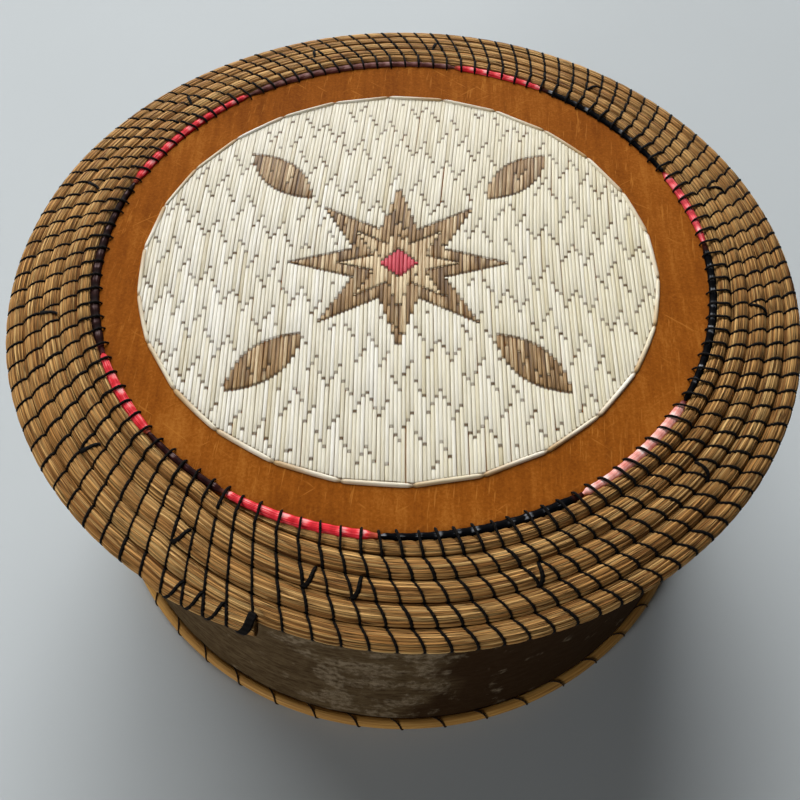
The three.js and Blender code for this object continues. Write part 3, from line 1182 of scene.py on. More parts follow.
    def stitch_point(self, stitch: Array, across: Array) -> tuple[Array, Array, Array]:
        """Where a stitch line crosses a share of the bundle's width.

        The line turns most at the row's inner edge and runs straight out at its outer one.

        Args:
            stitch: The stitch's number along the bundle.
            across: 0 at the row's inner edge and 1 at its outer one.

        Returns:
            The angle, and the bundle's inner and outer radius there.
        """
        base = self.line_angle(stitch)
        lean = self.lean(base)
        angle = base
        for _ in range(4):
            inner, outer = self.edges(angle)
            reached = inner + (outer - inner) * np.sin(across * math.pi / 2)
            angle = base + lean * (reached - self.line_radius)
        return angle, inner, outer

    def section(self, stitch: Array, turn: Array, swell: Array, lift: float = 0.0) -> Array:
        """Points of the bundle's surface.

        The section is a squared circle: across = w * sgn(cos t)|cos t|^0.9 and
        up = h * sgn(sin t)|sin t|^0.75, put on the dome's slope at the row's middle.

        Args:
            stitch: The number along the bundle.
            turn: The angle round the section, 0 at the outer side and a quarter at the top.
            swell: A factor on the section's size.
            lift: How far off the surface the points lie.

        Returns:
            Points, with x, y, z last.
        """
        cos = np.sign(np.cos(turn)) * np.abs(np.cos(turn)) ** 0.9
        angle, inner, outer = self.stitch_point(stitch, (1 + np.cos(turn)) / 2)
        middle = (inner + outer) / 2
        height, slope = self.dome(middle)
        half_width = (outer - inner) / 2 / np.cos(slope) * swell + lift
        narrow = np.minimum((outer - inner) / self.first_row_width, 1)
        half_height = self.half_thickness * narrow * swell + lift
        x, y = half_width * cos, half_height * np.sign(np.sin(turn)) * np.abs(np.sin(turn)) ** 0.75
        radius = middle + x * np.cos(slope) + y * np.sin(slope)
        return polar(radius, angle, height - x * np.sin(slope) + y * np.cos(slope))

    def stitch_span(self) -> tuple[float, float]:
        """The stitch numbers at which the bundle starts and ends.

        Returns:
            The first and the last number.
        """
        numbers = np.linspace(-20, self.stitches_per_turn * (self.row_count + 1.2), 9000)
        angle = self.stitch_point(numbers, np.full_like(numbers, 0.5))[0]
        last = self.start_angle + self.row_count * FULL_TURN + self.late_end
        ends = [self.start_angle - self.early_start, last]
        low, high = np.interp(ends, angle, numbers)
        return float(low), float(high)

    def bundle(self) -> bpy.types.Object:
        """One unbroken bundle, drawn in at each stitch, with furrows between its blades.

        Returns:
            The dressed piece.
        """
        rng = np.random.default_rng(11)
        low, high = self.stitch_span()
        rows = (np.arange(math.floor(low), math.ceil(high))[:, None] + self.ring_places).ravel()
        inside = (rows > low + self.least_step) & (rows < high - self.least_step)
        rows = np.concatenate([[low], rows[inside], [high]])
        corners = len(self.blade_profile)
        sides = self.blade_count * corners
        drift = self.twist * wander(rows, (0.021, 0.047, 0.09), rng)
        turn = ring_angles(sides) - math.pi / 2 + drift[:, None]
        part = rows - np.floor(rows)
        near = np.minimum(part, 1 - part)
        notch = np.exp(-((near / self.notch_length) ** 2)) * (rows < math.floor(high) - 0.5)
        swell = 1 - self.notch_share * notch + self.bulge_share * np.sin(math.pi * part)
        swell = swell * (0.6 + 0.4 * smooth_step(rows, low, low + 1.2))
        swell = swell * (1 + 0.012 * wander(rows, (0.31, 0.73, 1.37), rng))
        blade = np.tile(self.blade_profile, self.blade_count)
        swings = [wander(rows, (0.05, 0.13, 0.33, 0.7), rng) for _ in range(self.blade_count)]
        swing = np.repeat(np.stack(swings, -1), corners, 1)
        relief = blade * (1 + 0.6 * swing) + 0.5 * swing
        size = swell[:, None] + relief * self.blade_depth / self.half_thickness
        points = self.section(rows[:, None], turn, size)
        uv = tube_uv(points.mean(1)[None], FULL_TURN * self.half_thickness, sides)
        # painted shade: darker in the valleys between blades and where each stitch draws the bundle
        # in; the cut end is darkened too
        furrow_shade = np.clip(0.6 * (blade < 0) + 0.85 * notch[:, None] - 0.1 * (blade > 0), 0, 1)
        furrow_shade[-1] = self.cut_shade
        grid = Grid(points[None], uv, {"furrow_shade": furrow_shade[None]})
        return lay("sweetgrass_bundle", grid, Sweetgrass(), Body.LID, "sweetgrass_coil")

    def laid(
        self,
        stitch: Array,
        turn: Array,
        half_width: Array | float,
        lift_share: float,
        swell: float = 1.0,
        loose: Array | float = 1.0,
        ring: bool = False,
    ) -> Grid:
        """Thread laid flat over the bundle.

        Args:
            stitch: Numbers along the bundle, which spread with turn over (copies, points).
            turn: Angles round the bundle's section.
            half_width: Half the thread's width.
            lift_share: How far it lies off the bundle, as a share of half its height.
            swell: The bundle's own size where the thread lies.
            loose: A factor on the thread's size.
            ring: Whether each thread goes all the way round.

        Returns:
            The threads' grid.
        """
        path = self.section(stitch, turn, np.array(swell), self.thread_half_height * lift_share)
        up = path - self.section(stitch, turn, np.array(self.core_share))
        half_height = self.thread_half_height * loose
        points = tube_along(path, half_width * loose, half_height, up, self.thread_sides, ring)
        uv = tube_uv(path, self.thread_girth, self.thread_sides)
        if ring:
            uv = np.concatenate([uv, uv[:, -1:] + (uv[:, -1:] - uv[:, -2:-1])], 1)
        return Grid(points, uv, ring=ring)

    def thread(self) -> bpy.types.Object:
        """The sewing thread: a loop at every stitch, and long stitches into the bark's edge.

        Returns:
            The dressed piece.
        """
        rng = np.random.default_rng(5)
        low, high = self.stitch_span()
        second_row = low + self.stitches_per_turn + 1
        loops = np.arange(math.ceil(second_row), math.floor(high), dtype=float)[:, None]
        loose = 1 + self.looseness * rng.standard_normal(loops.shape).clip(-1.5, 1.5)
        turn = ring_angles(self.loop_points)
        width, swell = self.thread_half_width, 1 - self.notch_share
        piece = Piece("coil_sewing_thread")
        piece.add(self.laid(loops, turn, width, 0.75, swell, loose, True))
        piece.add(self.edge_stitches(np.arange(math.ceil(low), math.ceil(second_row)), rng))
        piece.add(self.thread_ends(rng))
        piece.add(self.finishing_stitches(high))
        return dress(piece.build(), COIL_THREAD, Body.LID)

    def edge_stitches(self, numbers: Array, rng: np.random.Generator) -> Grid:
        """Stitches over the first row that reach across the coloured quills into the bark.

        The path is a given profile of radius and height against the bark's face. The ends
        in the bark are thin and reach in unevenly, least on one side of the lid.

        Args:
            numbers: The stitches' numbers.
            rng: The source of the random numbers.

        Returns:
            The threads' grid.
        """
        radius = np.array(self.edge_stitch_radii) * MM
        height = np.array(self.edge_stitch_heights) * MM
        count = len(numbers)
        base = self.line_angle(numbers.astype(float))[:, None]
        short = 0.6 * smooth_step(np.cos(base - self.short_side), 0, 1)
        reach = (rng.uniform(-0.25, 0.65, (count, 1)) + short) * MM
        reach = reach * np.linspace(1, 0, len(radius)) ** 3
        inner = self.row_edge(1)
        turned = np.maximum(radius, inner) - self.line_radius + 0.4 * np.minimum(radius - inner, 0)
        angle = base + self.lean(base) * turned
        tip = rng.uniform(-0.2, 0.45, (count, 1)) * smooth_step(-radius, -91 * MM, -86 * MM)
        path = polar(radius + reach, angle - np.radians(tip), self.face_height + height)
        taper = np.minimum(0.45 + 0.25 * np.arange(len(radius)), 1)
        width = self.thread_half_width * rng.uniform(0.85, 1.15, (count, 1)) * taper
        up = polar(-0.25, angle, 1.0)
        points = tube_along(path, width, self.thread_half_height, up, self.thread_sides)
        return Grid(points, tube_uv(path, self.thread_girth, self.thread_sides))

    def thread_ends(self, rng: np.random.Generator) -> Grid:
        """Second threads on the third row, where a new thread was tied in.

        Each starts thick at the foot of a stitch and slants over the row towards the next one.

        Args:
            rng: The source of the random numbers.

        Returns:
            The threads' grid.
        """
        angles = np.radians(self.thread_end_degrees)
        third_row = self.start_angle + 2 * FULL_TURN
        wanted = third_row + (angles - third_row) % FULL_TURN
        numbers = np.arange(1.5 * self.stitches_per_turn, 3.5 * self.stitches_per_turn)
        feet = self.stitch_point(numbers, np.ones_like(numbers))[0]
        first = np.round(np.interp(wanted, feet, numbers))[:, None]
        way = np.linspace(0, 1, 9)
        stitch = first + way * rng.uniform(0.62, 0.92, first.shape)
        taper = self.thread_half_width * (2.1 - 0.9 * way**0.6)
        return self.laid(stitch, (0.10 + 0.72 * way) * math.pi, taper, 0.7)

    def finishing_stitches(self, high: float) -> Grid:
        """Three slanting stitches that lock the last row, from each line's foot to the next.

        Args:
            high: The number at which the bundle ends.

        Returns:
            The threads' grid.
        """
        numbers = math.floor(high - 0.75) - np.arange(1, 4)
        turn = np.linspace(-0.15, 1.0, 9)[:-1] * math.pi
        slide = np.linspace(0.0, 1.0, len(turn))
        return self.laid(numbers[:, None] + slide, turn, self.thread_half_width * 1.2, 0.8)

    def end_lashing(self) -> bpy.types.Object:
        """Four slanting turns of thread, side by side, that tie down the cut end of the bundle.

        Returns:
            The dressed piece.
        """
        _, high = self.stitch_span()
        turn = np.linspace(-0.45, 0.98, 30) * math.pi
        slant = np.linspace(-0.40, 0.60, len(turn))
        numbers = high - np.array(self.tie_places)[:, None] + slant
        grid = self.laid(numbers, turn, self.thread_half_width * 1.3, 0.75, 1.05)
        return lay("coil_end_tie", grid, COIL_THREAD, Body.LID, "coil_end_lashing")

    def build(self) -> None:
        """Builds the coil and its thread."""
        self.bundle()
        self.thread()
        self.end_lashing()


@dataclass(frozen=True)
class EdgeQuills:
    """Twelve dyed quills laid end to end along the bark's edge, under the brim's first stitches."""

    brim: Brim
    middle_radius: float = 88.3 * MM
    half_width: float = 1.42 * MM
    crown: float = 0.85 * MM
    base_height: float = 0.1 * MM
    pinch_length: float = 0.65 * MM
    stitch_offset: float = math.radians(0.5)
    row_angle: float = math.radians(0.5)
    sides: int = 14
    girth: float = 6 * MM
    turn_shares: tuple[float, ...] = (
        0.739, 0.833, 0.906, 1.0125, 1.067, 1.164, 1.219, 1.35, 1.444, 1.564, 1.618, 1.667, 1.739,
    )
    widths: tuple[float, ...] = (0.86, 1.0, 0.80, 0.88, 0.76, 0.9, 0.9, 1.0, 0.95, 1.0, 0.70, 0.97)
    dyes: tuple[Dye, ...] = (
        BLACK_DYE, SALMON_DYE, BLACK_DYE, ROSE_DYE, BLACK_DYE, RED_DYE,
        WINE_DYE, RED_DYE, PURPLE_DYE, RED_DYE, MAROON_DYE, RED_DYE,
    )

    def quill(self, number: int) -> bpy.types.Object:
        """One quill: a low crowned section on an arc, pinched under each stitch, thin at its tail.

        Args:
            number: Which quill, from 0.

        Returns:
            The dressed piece.
        """
        rng = np.random.default_rng(40 + number)
        start, end = (share * FULL_TURN for share in self.turn_shares[number : number + 2])
        rows = max(int((end - start) / self.row_angle), 12)
        way = np.linspace(0, 1, rows)
        angle = start + (end - start) * way
        lines = self.brim.line_angle(np.arange(-40, 300, dtype=float))
        inwards = self.middle_radius - self.brim.line_radius
        lines = lines + self.brim.lean(lines) * inwards - self.stitch_offset
        gap = np.abs(angle[:, None] - lines).min(1) * self.middle_radius
        pinch = np.exp(-((gap / self.pinch_length) ** 2))
        tail = smooth_step(way, 0, 0.04) * (1 - 0.75 * smooth_step(way, 0.90, 1.0))
        width = self.half_width * (0.72 + 0.28 * smooth_step(way, 0.0, 0.5)) * (0.35 + 0.65 * tail)
        width = width * (1 - 0.05 * pinch) * self.widths[number]
        height = self.crown * (0.45 + 0.55 * tail) * (1 - 0.17 * pinch)
        height = height * (1 + 0.06 * wander(angle, (60.0, 141.0), rng))
        turn = ring_angles(self.sides)
        radius = self.middle_radius + width[:, None] * np.cos(turn)
        floor = self.brim.face_height + self.base_height
        points = polar(radius, angle[:, None], floor + height[:, None] * crowned(turn))
        along = angle[:, None] * self.middle_radius
        uv = paired(along, girth_steps(self.sides, self.girth))
        # painted glints along the crest between the stitches, and painted shade where each stitch
        # pinches the quill
        crest = (turn > 1.1) * (turn < 2.6) * rng.uniform(0.35, 1.0, self.sides)
        glint = smooth_step(gap, 0.9 * MM, 1.7 * MM)[:, None] * crest
        tone = self.dyes[number].level + 0.12 * wander(angle, (9.0, 23.0, 57.0), rng)[:, None]
        shine = 0.45 + 0.4 * wander(angle, (31.0, 77.0), rng)[:, None]
        tone = tone + 1.1 * glint * shine - 0.12 * pinch[:, None]
        age = 0.9 * smooth_step(way, 0.93, 0.97)[:, None]
        marks = {"tone": tone[None], "age": age[None], "tuck_shade": (0.3 * pinch)[None, :, None]}
        grid = Grid(points[None], uv[None], marks)
        label = f"{number + 1:02d}"
        return lay(f"edge_quill_{label}", grid, self.dyes[number], Body.LID, f"rim_wrap_{label}")

    def build(self) -> None:
        """Builds all twelve."""
        for number in range(len(self.dyes)):
            self.quill(number)


# The quilled panel


class Zone(Enum):
    """The parts of the panel's design, in the order in which they cover each other."""

    FIELD = 0
    LEAF_1 = 1
    LEAF_2 = 2
    LEAF_3 = 3
    LEAF_4 = 4
    STAR = 5
    HEART = 6


@dataclass(frozen=True)
class Panel:
    """Quills side by side in columns, with a star, four leaves and a border."""

    centre: tuple[float, float] = (-1.5 * MM, -1.75 * MM)
    face_height: float = 107 * MM
    radius: float = 73.5 * MM
    border_count: int = 26
    border_turn: float = -0.242
    border_width: float = 1.35 * MM
    border_height: float = 0.75 * MM
    pitch: float = 1.06 * MM
    stretch: float = 1.02
    bend_place: float = 9 * MM
    bend_length: float = 16 * MM
    bend_slope: float = 0.05
    quill_height: float = 0.42 * MM
    far_calm: float = 0.45
    star_tip_share: float = 0.423
    star_notch_share: float = 0.191
    star_points: int = 8
    heart_share: float = 0.075
    leaf_gap_share: float = 0.075
    leaf_length_share: float = 0.368
    leaf_width_share: float = 0.15
    leaf_count: int = 4
    tuck_shade_level: float = 8.7 * MM
    tuck_shade_step: float = 2.1 * MM
    tuck_shade_columns: int = 3
    tuck_shade_unsure: float = 0.28 * MM
    shortest: float = 3.2 * MM
    scan: float = 0.1 * MM
    pale_star_share: float = 0.56
    end_gap: float = 0.07 * MM
    end_length: float = 0.84 * MM
    end_height_shares: tuple[float, ...] = (0.25, 0.70, 0.97, 1.0, 1.0, 0.96, 0.80)
    end_width_shares: tuple[float, ...] = (0.62, 0.92, 1.0, 1.0, 1.0, 0.99, 0.92)
    end_tuck_shares: tuple[float, ...] = (1.0, 1.0, 0.1, 0.0, 0.0, 0.0, 0.85)
    quill_overlap: float = 1.07
    quill_unevenness: float = 0.05 * MM
    quill_girth: float = 3 * MM
    border_places: tuple[float, ...] = (
        0.0, 0.025, 0.06, 0.11, 0.3, 0.6, 0.84, 0.92, 0.965, 1.0,
    )
    border_height_shares: tuple[float, ...] = (
        0.12, 0.6, 0.92, 1.0, 1.0, 1.0, 1.0, 0.94, 0.65, 0.12,
    )
    border_width_shares: tuple[float, ...] = (
        0.30, 0.70, 0.92, 1.0, 1.0, 1.0, 0.97, 0.88, 0.66, 0.30,
    )
    border_bow: float = 0.25 * MM
    border_sides: int = 12
    border_girth: float = 6 * MM

    def column_place(self, column: Array, along: Array) -> Array:
        """How far across a column lies at a way along it.

        The columns run straight at first and bend over to one side in the far half: their slope
        rises by a hyperbolic tangent, whose integral is the logarithm of a hyperbolic cosine.

        Args:
            column: The column's place on the panel's middle line.
            along: The way along it.

        Returns:
            The place across.
        """
        way = (along - self.bend_place) / self.bend_length
        drift = self.bend_slope * self.bend_length * (way + np.log(np.cosh(way)))
        return column + drift * (1 - 0.6 * (column / self.radius) ** 2) + 0.0003 * column * along / MM

    def zones(self, x: Array, y: Array) -> Array:
        """Which zone of the design each point lies in, or -1 outside the field.

        Args:
            x: Places across, from the panel's middle.
            y: Places along.

        Returns:
            The zones' values.
        """
        radius, angle = np.hypot(x, y), np.arctan2(y, x)
        side = FULL_TURN / self.border_count
        reach = self.radius * math.cos(side / 2) - self.border_width * 0.55
        turned = (angle - self.border_turn * FULL_TURN) % side - side / 2
        zone = np.where(radius * np.cos(turned) < reach, Zone.FIELD.value, -1)
        star = self.radius * self.star_tip_share
        leaf = self.radius * self.leaf_length_share / 2
        distance = star + self.radius * self.leaf_gap_share + leaf
        for number in range(self.leaf_count):
            direction = (number + 0.5) * FULL_TURN / self.leaf_count
            along = x * math.cos(direction) + y * math.sin(direction) - distance
            across = y * math.cos(direction) - x * math.sin(direction)
            way = np.arccos(np.clip(along / leaf, -1, 1))
            width = self.radius * self.leaf_width_share / 2 * np.sin(way) ** 2
            zone = np.where(np.abs(across) < width, Zone.LEAF_1.value + number, zone)
        zone = np.where(self.in_star(x, y, 1.0), Zone.STAR.value, zone)
        heart = self.radius * self.heart_share
        return np.where(np.abs(x) + np.abs(y) < heart, Zone.HEART.value, zone)

    def in_star(self, x: Array, y: Array, share: float) -> Array:
        """Whether points lie in the star drawn at a share of its size.

        Within each half point, the straight side from the tip to the notch bounds the star.

        Args:
            x: Places across.
            y: Places along.
            share: The share of the star's size.

        Returns:
            True inside it.
        """
        radius, angle = np.hypot(x, y), np.arctan2(y, x)
        point = FULL_TURN / self.star_points
        half = np.abs((angle + point / 2) % point - point / 2)
        tip = self.radius * self.star_tip_share * share
        notch = self.radius * self.star_notch_share * share
        notch_x, notch_y = notch * math.cos(point / 2), notch * math.sin(point / 2)
        px, py = radius * np.cos(half), radius * np.sin(half)
        return (notch_x - tip) * py - notch_y * (px - tip) > 0

    def stitches(self) -> dict[str, Array]:
        """Cuts every column where the design changes and at the rows of tuck points.

        Returns:
            For each quill its column, first and last place along, zone and tone band.
        """
        rng = np.random.default_rng(21)
        count = int((2 * self.radius + 16 * MM) / self.pitch)
        along = np.arange(-self.radius, self.radius, self.scan)
        rows: list[tuple[float, float, float, int, float]] = []
        for number in range(count):
            column = (number - (count - 1) / 2) * self.pitch
            x = self.column_place(np.full_like(along, column), along)
            zone = self.zones(x, along)
            band = self.in_star(x, along, self.pale_star_share) & (zone == Zone.STAR.value)
            code = zone * 2 + band
            code[[0, -1]] = -2
            changes = np.flatnonzero(np.diff(code)) + 1
            for first, last in zip(changes[:-1], changes[1:]):
                if code[first] < 0:
                    continue
                low, high = along[first], along[last]
                cuts = self.cuts(low, high, number, rng)
                for a, b in zip(cuts[:-1], cuts[1:]):
                    rows.append((column, a, b, int(code[first]) // 2, float(code[first] % 2)))
        table = np.array(rows)
        names = ("column", "first", "last", "zone", "band")
        return {name: table[:, k] for k, name in enumerate(names)}

    def cuts(self, low: float, high: float, number: int, rng: np.random.Generator) -> list[float]:
        """Where a run of a column is cut into quills.

        Three columns side by side are cut along a short slant. The next three are cut half a
        quill higher, along a slant of the other hand.

        Args:
            low: Where the run starts.
            high: Where it ends.
            number: The column's number.
            rng: The source of the random numbers.

        Returns:
            The run's start, its cuts and its end.
        """
        group, within = divmod(number, self.tuck_shade_columns)
        hand = -1 if group % 2 else 1
        slant = hand * (within - (self.tuck_shade_columns - 1) / 2) * self.tuck_shade_step
        shift = (group % 2 + 0.35 * math.sin(group * 2.1)) * self.tuck_shade_level
        span = 2 * self.tuck_shade_level
        levels = np.arange(math.floor(low / span) - 1, math.ceil(high / span) + 2)
        unsure = 0.16 * self.tuck_shade_level * np.sin(levels * 1.7 + group * 2.9)
        places = levels * span + shift + unsure + slant
        places = np.sort(places + rng.normal(0, self.tuck_shade_unsure, len(places)))
        inside = places[(places > low + self.shortest) & (places < high - self.shortest)]
        return [low, *inside.tolist(), high]

    def quill_grid(self, table: dict[str, Array], rng: np.random.Generator) -> Grid:
        """Quills as low crowned solids whose ends dip into the bark.

        Args:
            table: The quills, as stitches() gives them.
            rng: The source of each quill's small differences.

        Returns:
            One grid with a copy for each quill.
        """
        low, high = table["first"][:, None], table["last"][:, None]
        column = table["column"][:, None]
        length = high - low
        dip = np.minimum(self.end_length, length / 4)
        near = self.end_gap + dip * np.array([0.0, 0.5, 1.0])
        along = low + np.concatenate([near, length / 2, length - near[:, ::-1]], 1)
        shape = along.shape
        one_each = (shape[0], 1)
        flat = 1 - self.far_calm * smooth_step(along, 0.1 * self.radius, 0.9 * self.radius)
        edge = np.array(self.end_height_shares) * flat
        height = self.quill_height * rng.uniform(0.86, 1.0, one_each) * edge
        half = self.pitch / 2
        left = self.column_place(column - half, along)
        right = self.column_place(column + half, along)
        shift = rng.normal(0, self.quill_unevenness, one_each)
        slant = rng.normal(0, self.quill_unevenness, one_each)
        middle = (left + right) / 2 + shift + slant * np.linspace(-1, 1, shape[1])
        half_width = (right - left) / 2 * self.quill_overlap * np.array(self.end_width_shares)
        turn = np.linspace(0, math.pi, 7)
        x = middle[..., None] + half_width[..., None] * np.cos(turn)
        y = np.broadcast_to(along[..., None], x.shape)
        z = self.face_height + 0.02 * MM + height[..., None] * np.sin(turn) ** 0.55
        points = np.stack([x * self.stretch + self.centre[0], y + self.centre[1], z], -1)
        around = girth_steps(len(turn), self.quill_girth) + rng.uniform(0, 1, (*one_each, 1))
        uv = paired(along[..., None], around)
        # the ends darken where they dip into the bark: the quill's dark tip and painted shade
        tuck_shade = np.array(self.end_tuck_shares) * rng.uniform(0.5, 1.0, one_each)
        return Grid(points, uv, {"tuck_shade": tuck_shade[..., None]})

    def quills(self) -> None:
        """Builds the field and each part of the design."""
        rng = np.random.default_rng(22)
        table = self.stitches()
        finishes = {Zone.FIELD: CREAM, Zone.STAR: BROWN, Zone.HEART: HEART}
        names = {Zone.FIELD: "quill_field", Zone.STAR: "quill_star", Zone.HEART: "quill_star_heart"}
        for zone in Zone:
            chosen = {name: values[table["zone"] == zone.value] for name, values in table.items()}
            grid = self.quill_grid(chosen, rng)
            tone, age = self.tones(zone, chosen, grid, rng)
            grid.marks.update(tone=tone, age=age)
            node = names.get(zone, f"quill_leaf_{zone.value}")
            name = node.replace("quill_", "quills_")
            lay(name, grid, finishes.get(zone, BROWN), Body.LID, node)

    def tones(
        self, zone: Zone, table: dict[str, Array], grid: Grid, rng: np.random.Generator
    ) -> tuple[Array, Array]:
        """How pale and how yellow or dark each quill is along its length.

        Cream quills yellow towards the right. Brown ones run from a tan root to a dark tip, and
        those in the middle of the star are paler. Painted shade darkens each quill's sides.

        Args:
            zone: The part of the design.
            table: Its quills.
            grid: Their grid.
            rng: The source of each quill's own tone.

        Returns:
            The tone and the age of each point.
        """
        shape = grid.points.shape[:3]
        one_each = (shape[0], 1, 1)
        own = rng.normal(0, 1, one_each)
        way = np.linspace(0, 1, shape[1])[None, :, None]
        side = table["column"][:, None, None] / self.radius
        across = np.cos(np.linspace(0, math.pi, shape[2]))[None, None, :]
        if zone is Zone.FIELD:
            calm = 1 - self.far_calm * smooth_step(table["last"][:, None, None], 0, self.radius)
            # painted shade at each quill's sides, where the quills meet, and a slight painted
            # highlight on its +x side; the far half is calmer and darker
            tone = 0.15 * own - 0.48 * np.abs(across) ** 5 + 0.05 * across
            tone = 0.71 + (tone + 0.06) * calm - 0.06 - 0.34 * (1 - calm)
            age = np.clip(0.13 + 0.28 * side + 0.07 * rng.normal(0, 1, one_each), 0, 1)
        elif zone is Zone.HEART:
            # painted shade at each quill's sides
            tone = 0.5 + 0.12 * own - 0.25 * np.abs(across) ** 3
            age = np.zeros(one_each)
        else:
            flipped = np.where(rng.random(one_each) < 0.5, way, 1 - way)
            band = table["band"][:, None, None]
            hand = rng.normal(0, 1, one_each)
            tone = 0.48 + 0.20 * own + 0.28 * (flipped - 0.5) + 0.36 * band
            # painted highlight on one side of each quill, painted shade on the other side and at both
            # edges
            tone = tone + 0.26 * hand * across - 0.22 * np.abs(across) ** 3
            dark = rng.random(one_each) < 0.25
            age = np.clip(0.8 * dark * (1 - flipped), 0, 1) * (1 - band)
        return np.broadcast_to(tone, shape), np.broadcast_to(age, shape)

    def border(self) -> None:
        """Twenty-six straight quills, end to end, each over the tail of the one before."""
        rng = np.random.default_rng(23)
        side_angle = FULL_TURN / self.border_count
        apothem = self.radius * math.cos(side_angle / 2)
        half = self.radius * math.sin(side_angle / 2)
        low, high = -half - 0.1 * MM, half + 0.15 * MM
        way = np.array(self.border_places)
        along = low + (high - low) * way
        uv = paired(along[:, None], girth_steps(self.border_sides, self.border_girth))
        turn = ring_angles(self.border_sides)
        rise = crowned(turn)
        # the ends darken where they dip at the joints: the dark tip and painted shade
        tuck_shade = np.clip(1.4 - np.minimum(way, 1 - way) / 0.03, 0, 1)[:, None]
        for number in range(self.border_count):
            direction = self.border_turn * FULL_TURN + (number + 0.5) * side_angle
            out = np.array([math.cos(direction), math.sin(direction), 0.0])
            run = np.array([-out[1], out[0], 0.0])
            width = self.border_width / 2 * rng.uniform(0.86, 1.0) * np.array(self.border_width_shares)
            height = self.border_height * rng.uniform(0.86, 1.0) * np.array(self.border_height_shares)
            bow = self.border_bow * np.sin(math.pi * way) * rng.uniform(-0.6, 1.0)
            middle = apothem - self.border_width / 2 + bow
            across = middle[:, None] + width[:, None] * np.cos(turn)
            points = across[..., None] * out + along[:, None, None] * run
            points[..., 2] = self.face_height + 0.03 * MM + height[:, None] * rise
            points[..., 0] *= self.stretch
            points += np.array([*self.centre, 0.0])
            # painted highlight along each quill's crown
            tone = 0.60 + 0.12 * rng.normal() + 0.12 * rise
            tone = tone + 0.10 * wander(way, (5.0, 11.0), rng)[:, None]
            root = rng.uniform(0.35, 1.0) * (1 - smooth_step(way, 0.1, rng.uniform(0.45, 0.95)))
            tip = 0.8 * smooth_step(way, 0.90, 1.0) + 0.3 * (1 - smooth_step(way, 0.0, 0.10))
            outer = 0.45 * smooth_step(np.cos(turn), 0.2, 1.0) * rng.uniform(0.2, 1.0)
            age = np.clip((rng.uniform(0.0, 0.1) + root + tip)[:, None] + outer, 0, 1)
            marks = {"tone": tone[None], "age": age[None], "tuck_shade": tuck_shade[None]}
            grid = Grid(points[None], uv[None], marks)
            label = f"{number + 1:02d}"
            lay(f"quill_border_{label}", grid, BORDER, Body.LID, f"border_quill_{label}")

    def build(self) -> None:
        """Builds the panel."""
        self.quills()
        self.border()


# Bark sheets and strips


@dataclass(frozen=True)
class BarkDisc:
    """A flat round sheet of bark, a little uneven, with softly cut edges."""

    name: str
    node: str
    body: Body
    finish: Finish
    radius: float
    bottom: float
    thickness: float
    unevenness: float
    seed: int
    edge: float = 0.3 * MM
    hub: float = 0.4 * MM
    rings: int = 30
    columns: int = 192

    def build(self) -> bpy.types.Object:
        """A profile from the middle of the lower face, round the edge, to the middle of the upper.

        Each face moves by noise over the disc, least at the edge.

        Returns:
            The dressed piece.
        """
        rng = np.random.default_rng(self.seed)
        steps = np.linspace(self.hub, self.radius - self.edge, self.rings)
        radius = np.concatenate([steps, [self.radius] * 2, steps[::-1]])[:, None]
        top = self.thickness
        height = np.concatenate([0 * steps, [self.edge, top - self.edge], 0 * steps + top])[:, None]
        angle = ring_angles(self.columns)
        u = radius * np.cos(angle) / self.radius / 2 + 0.5
        v = radius * np.sin(angle) / self.radius / 2 + 0.5
        bumps = lattice_noise(u, v, (5, 5), rng) + 0.5 * lattice_noise(u, v, (11, 11), rng)
        calm = 1 - smooth_step(radius, self.radius * 0.9, self.radius)
        move = -np.abs(bumps) * self.unevenness * calm * np.where(height > top / 2, 1, -1)
        points = polar(radius, angle, self.bottom + height + move)
        return lay(self.name, Grid(points[None]), self.finish, self.body, self.node)


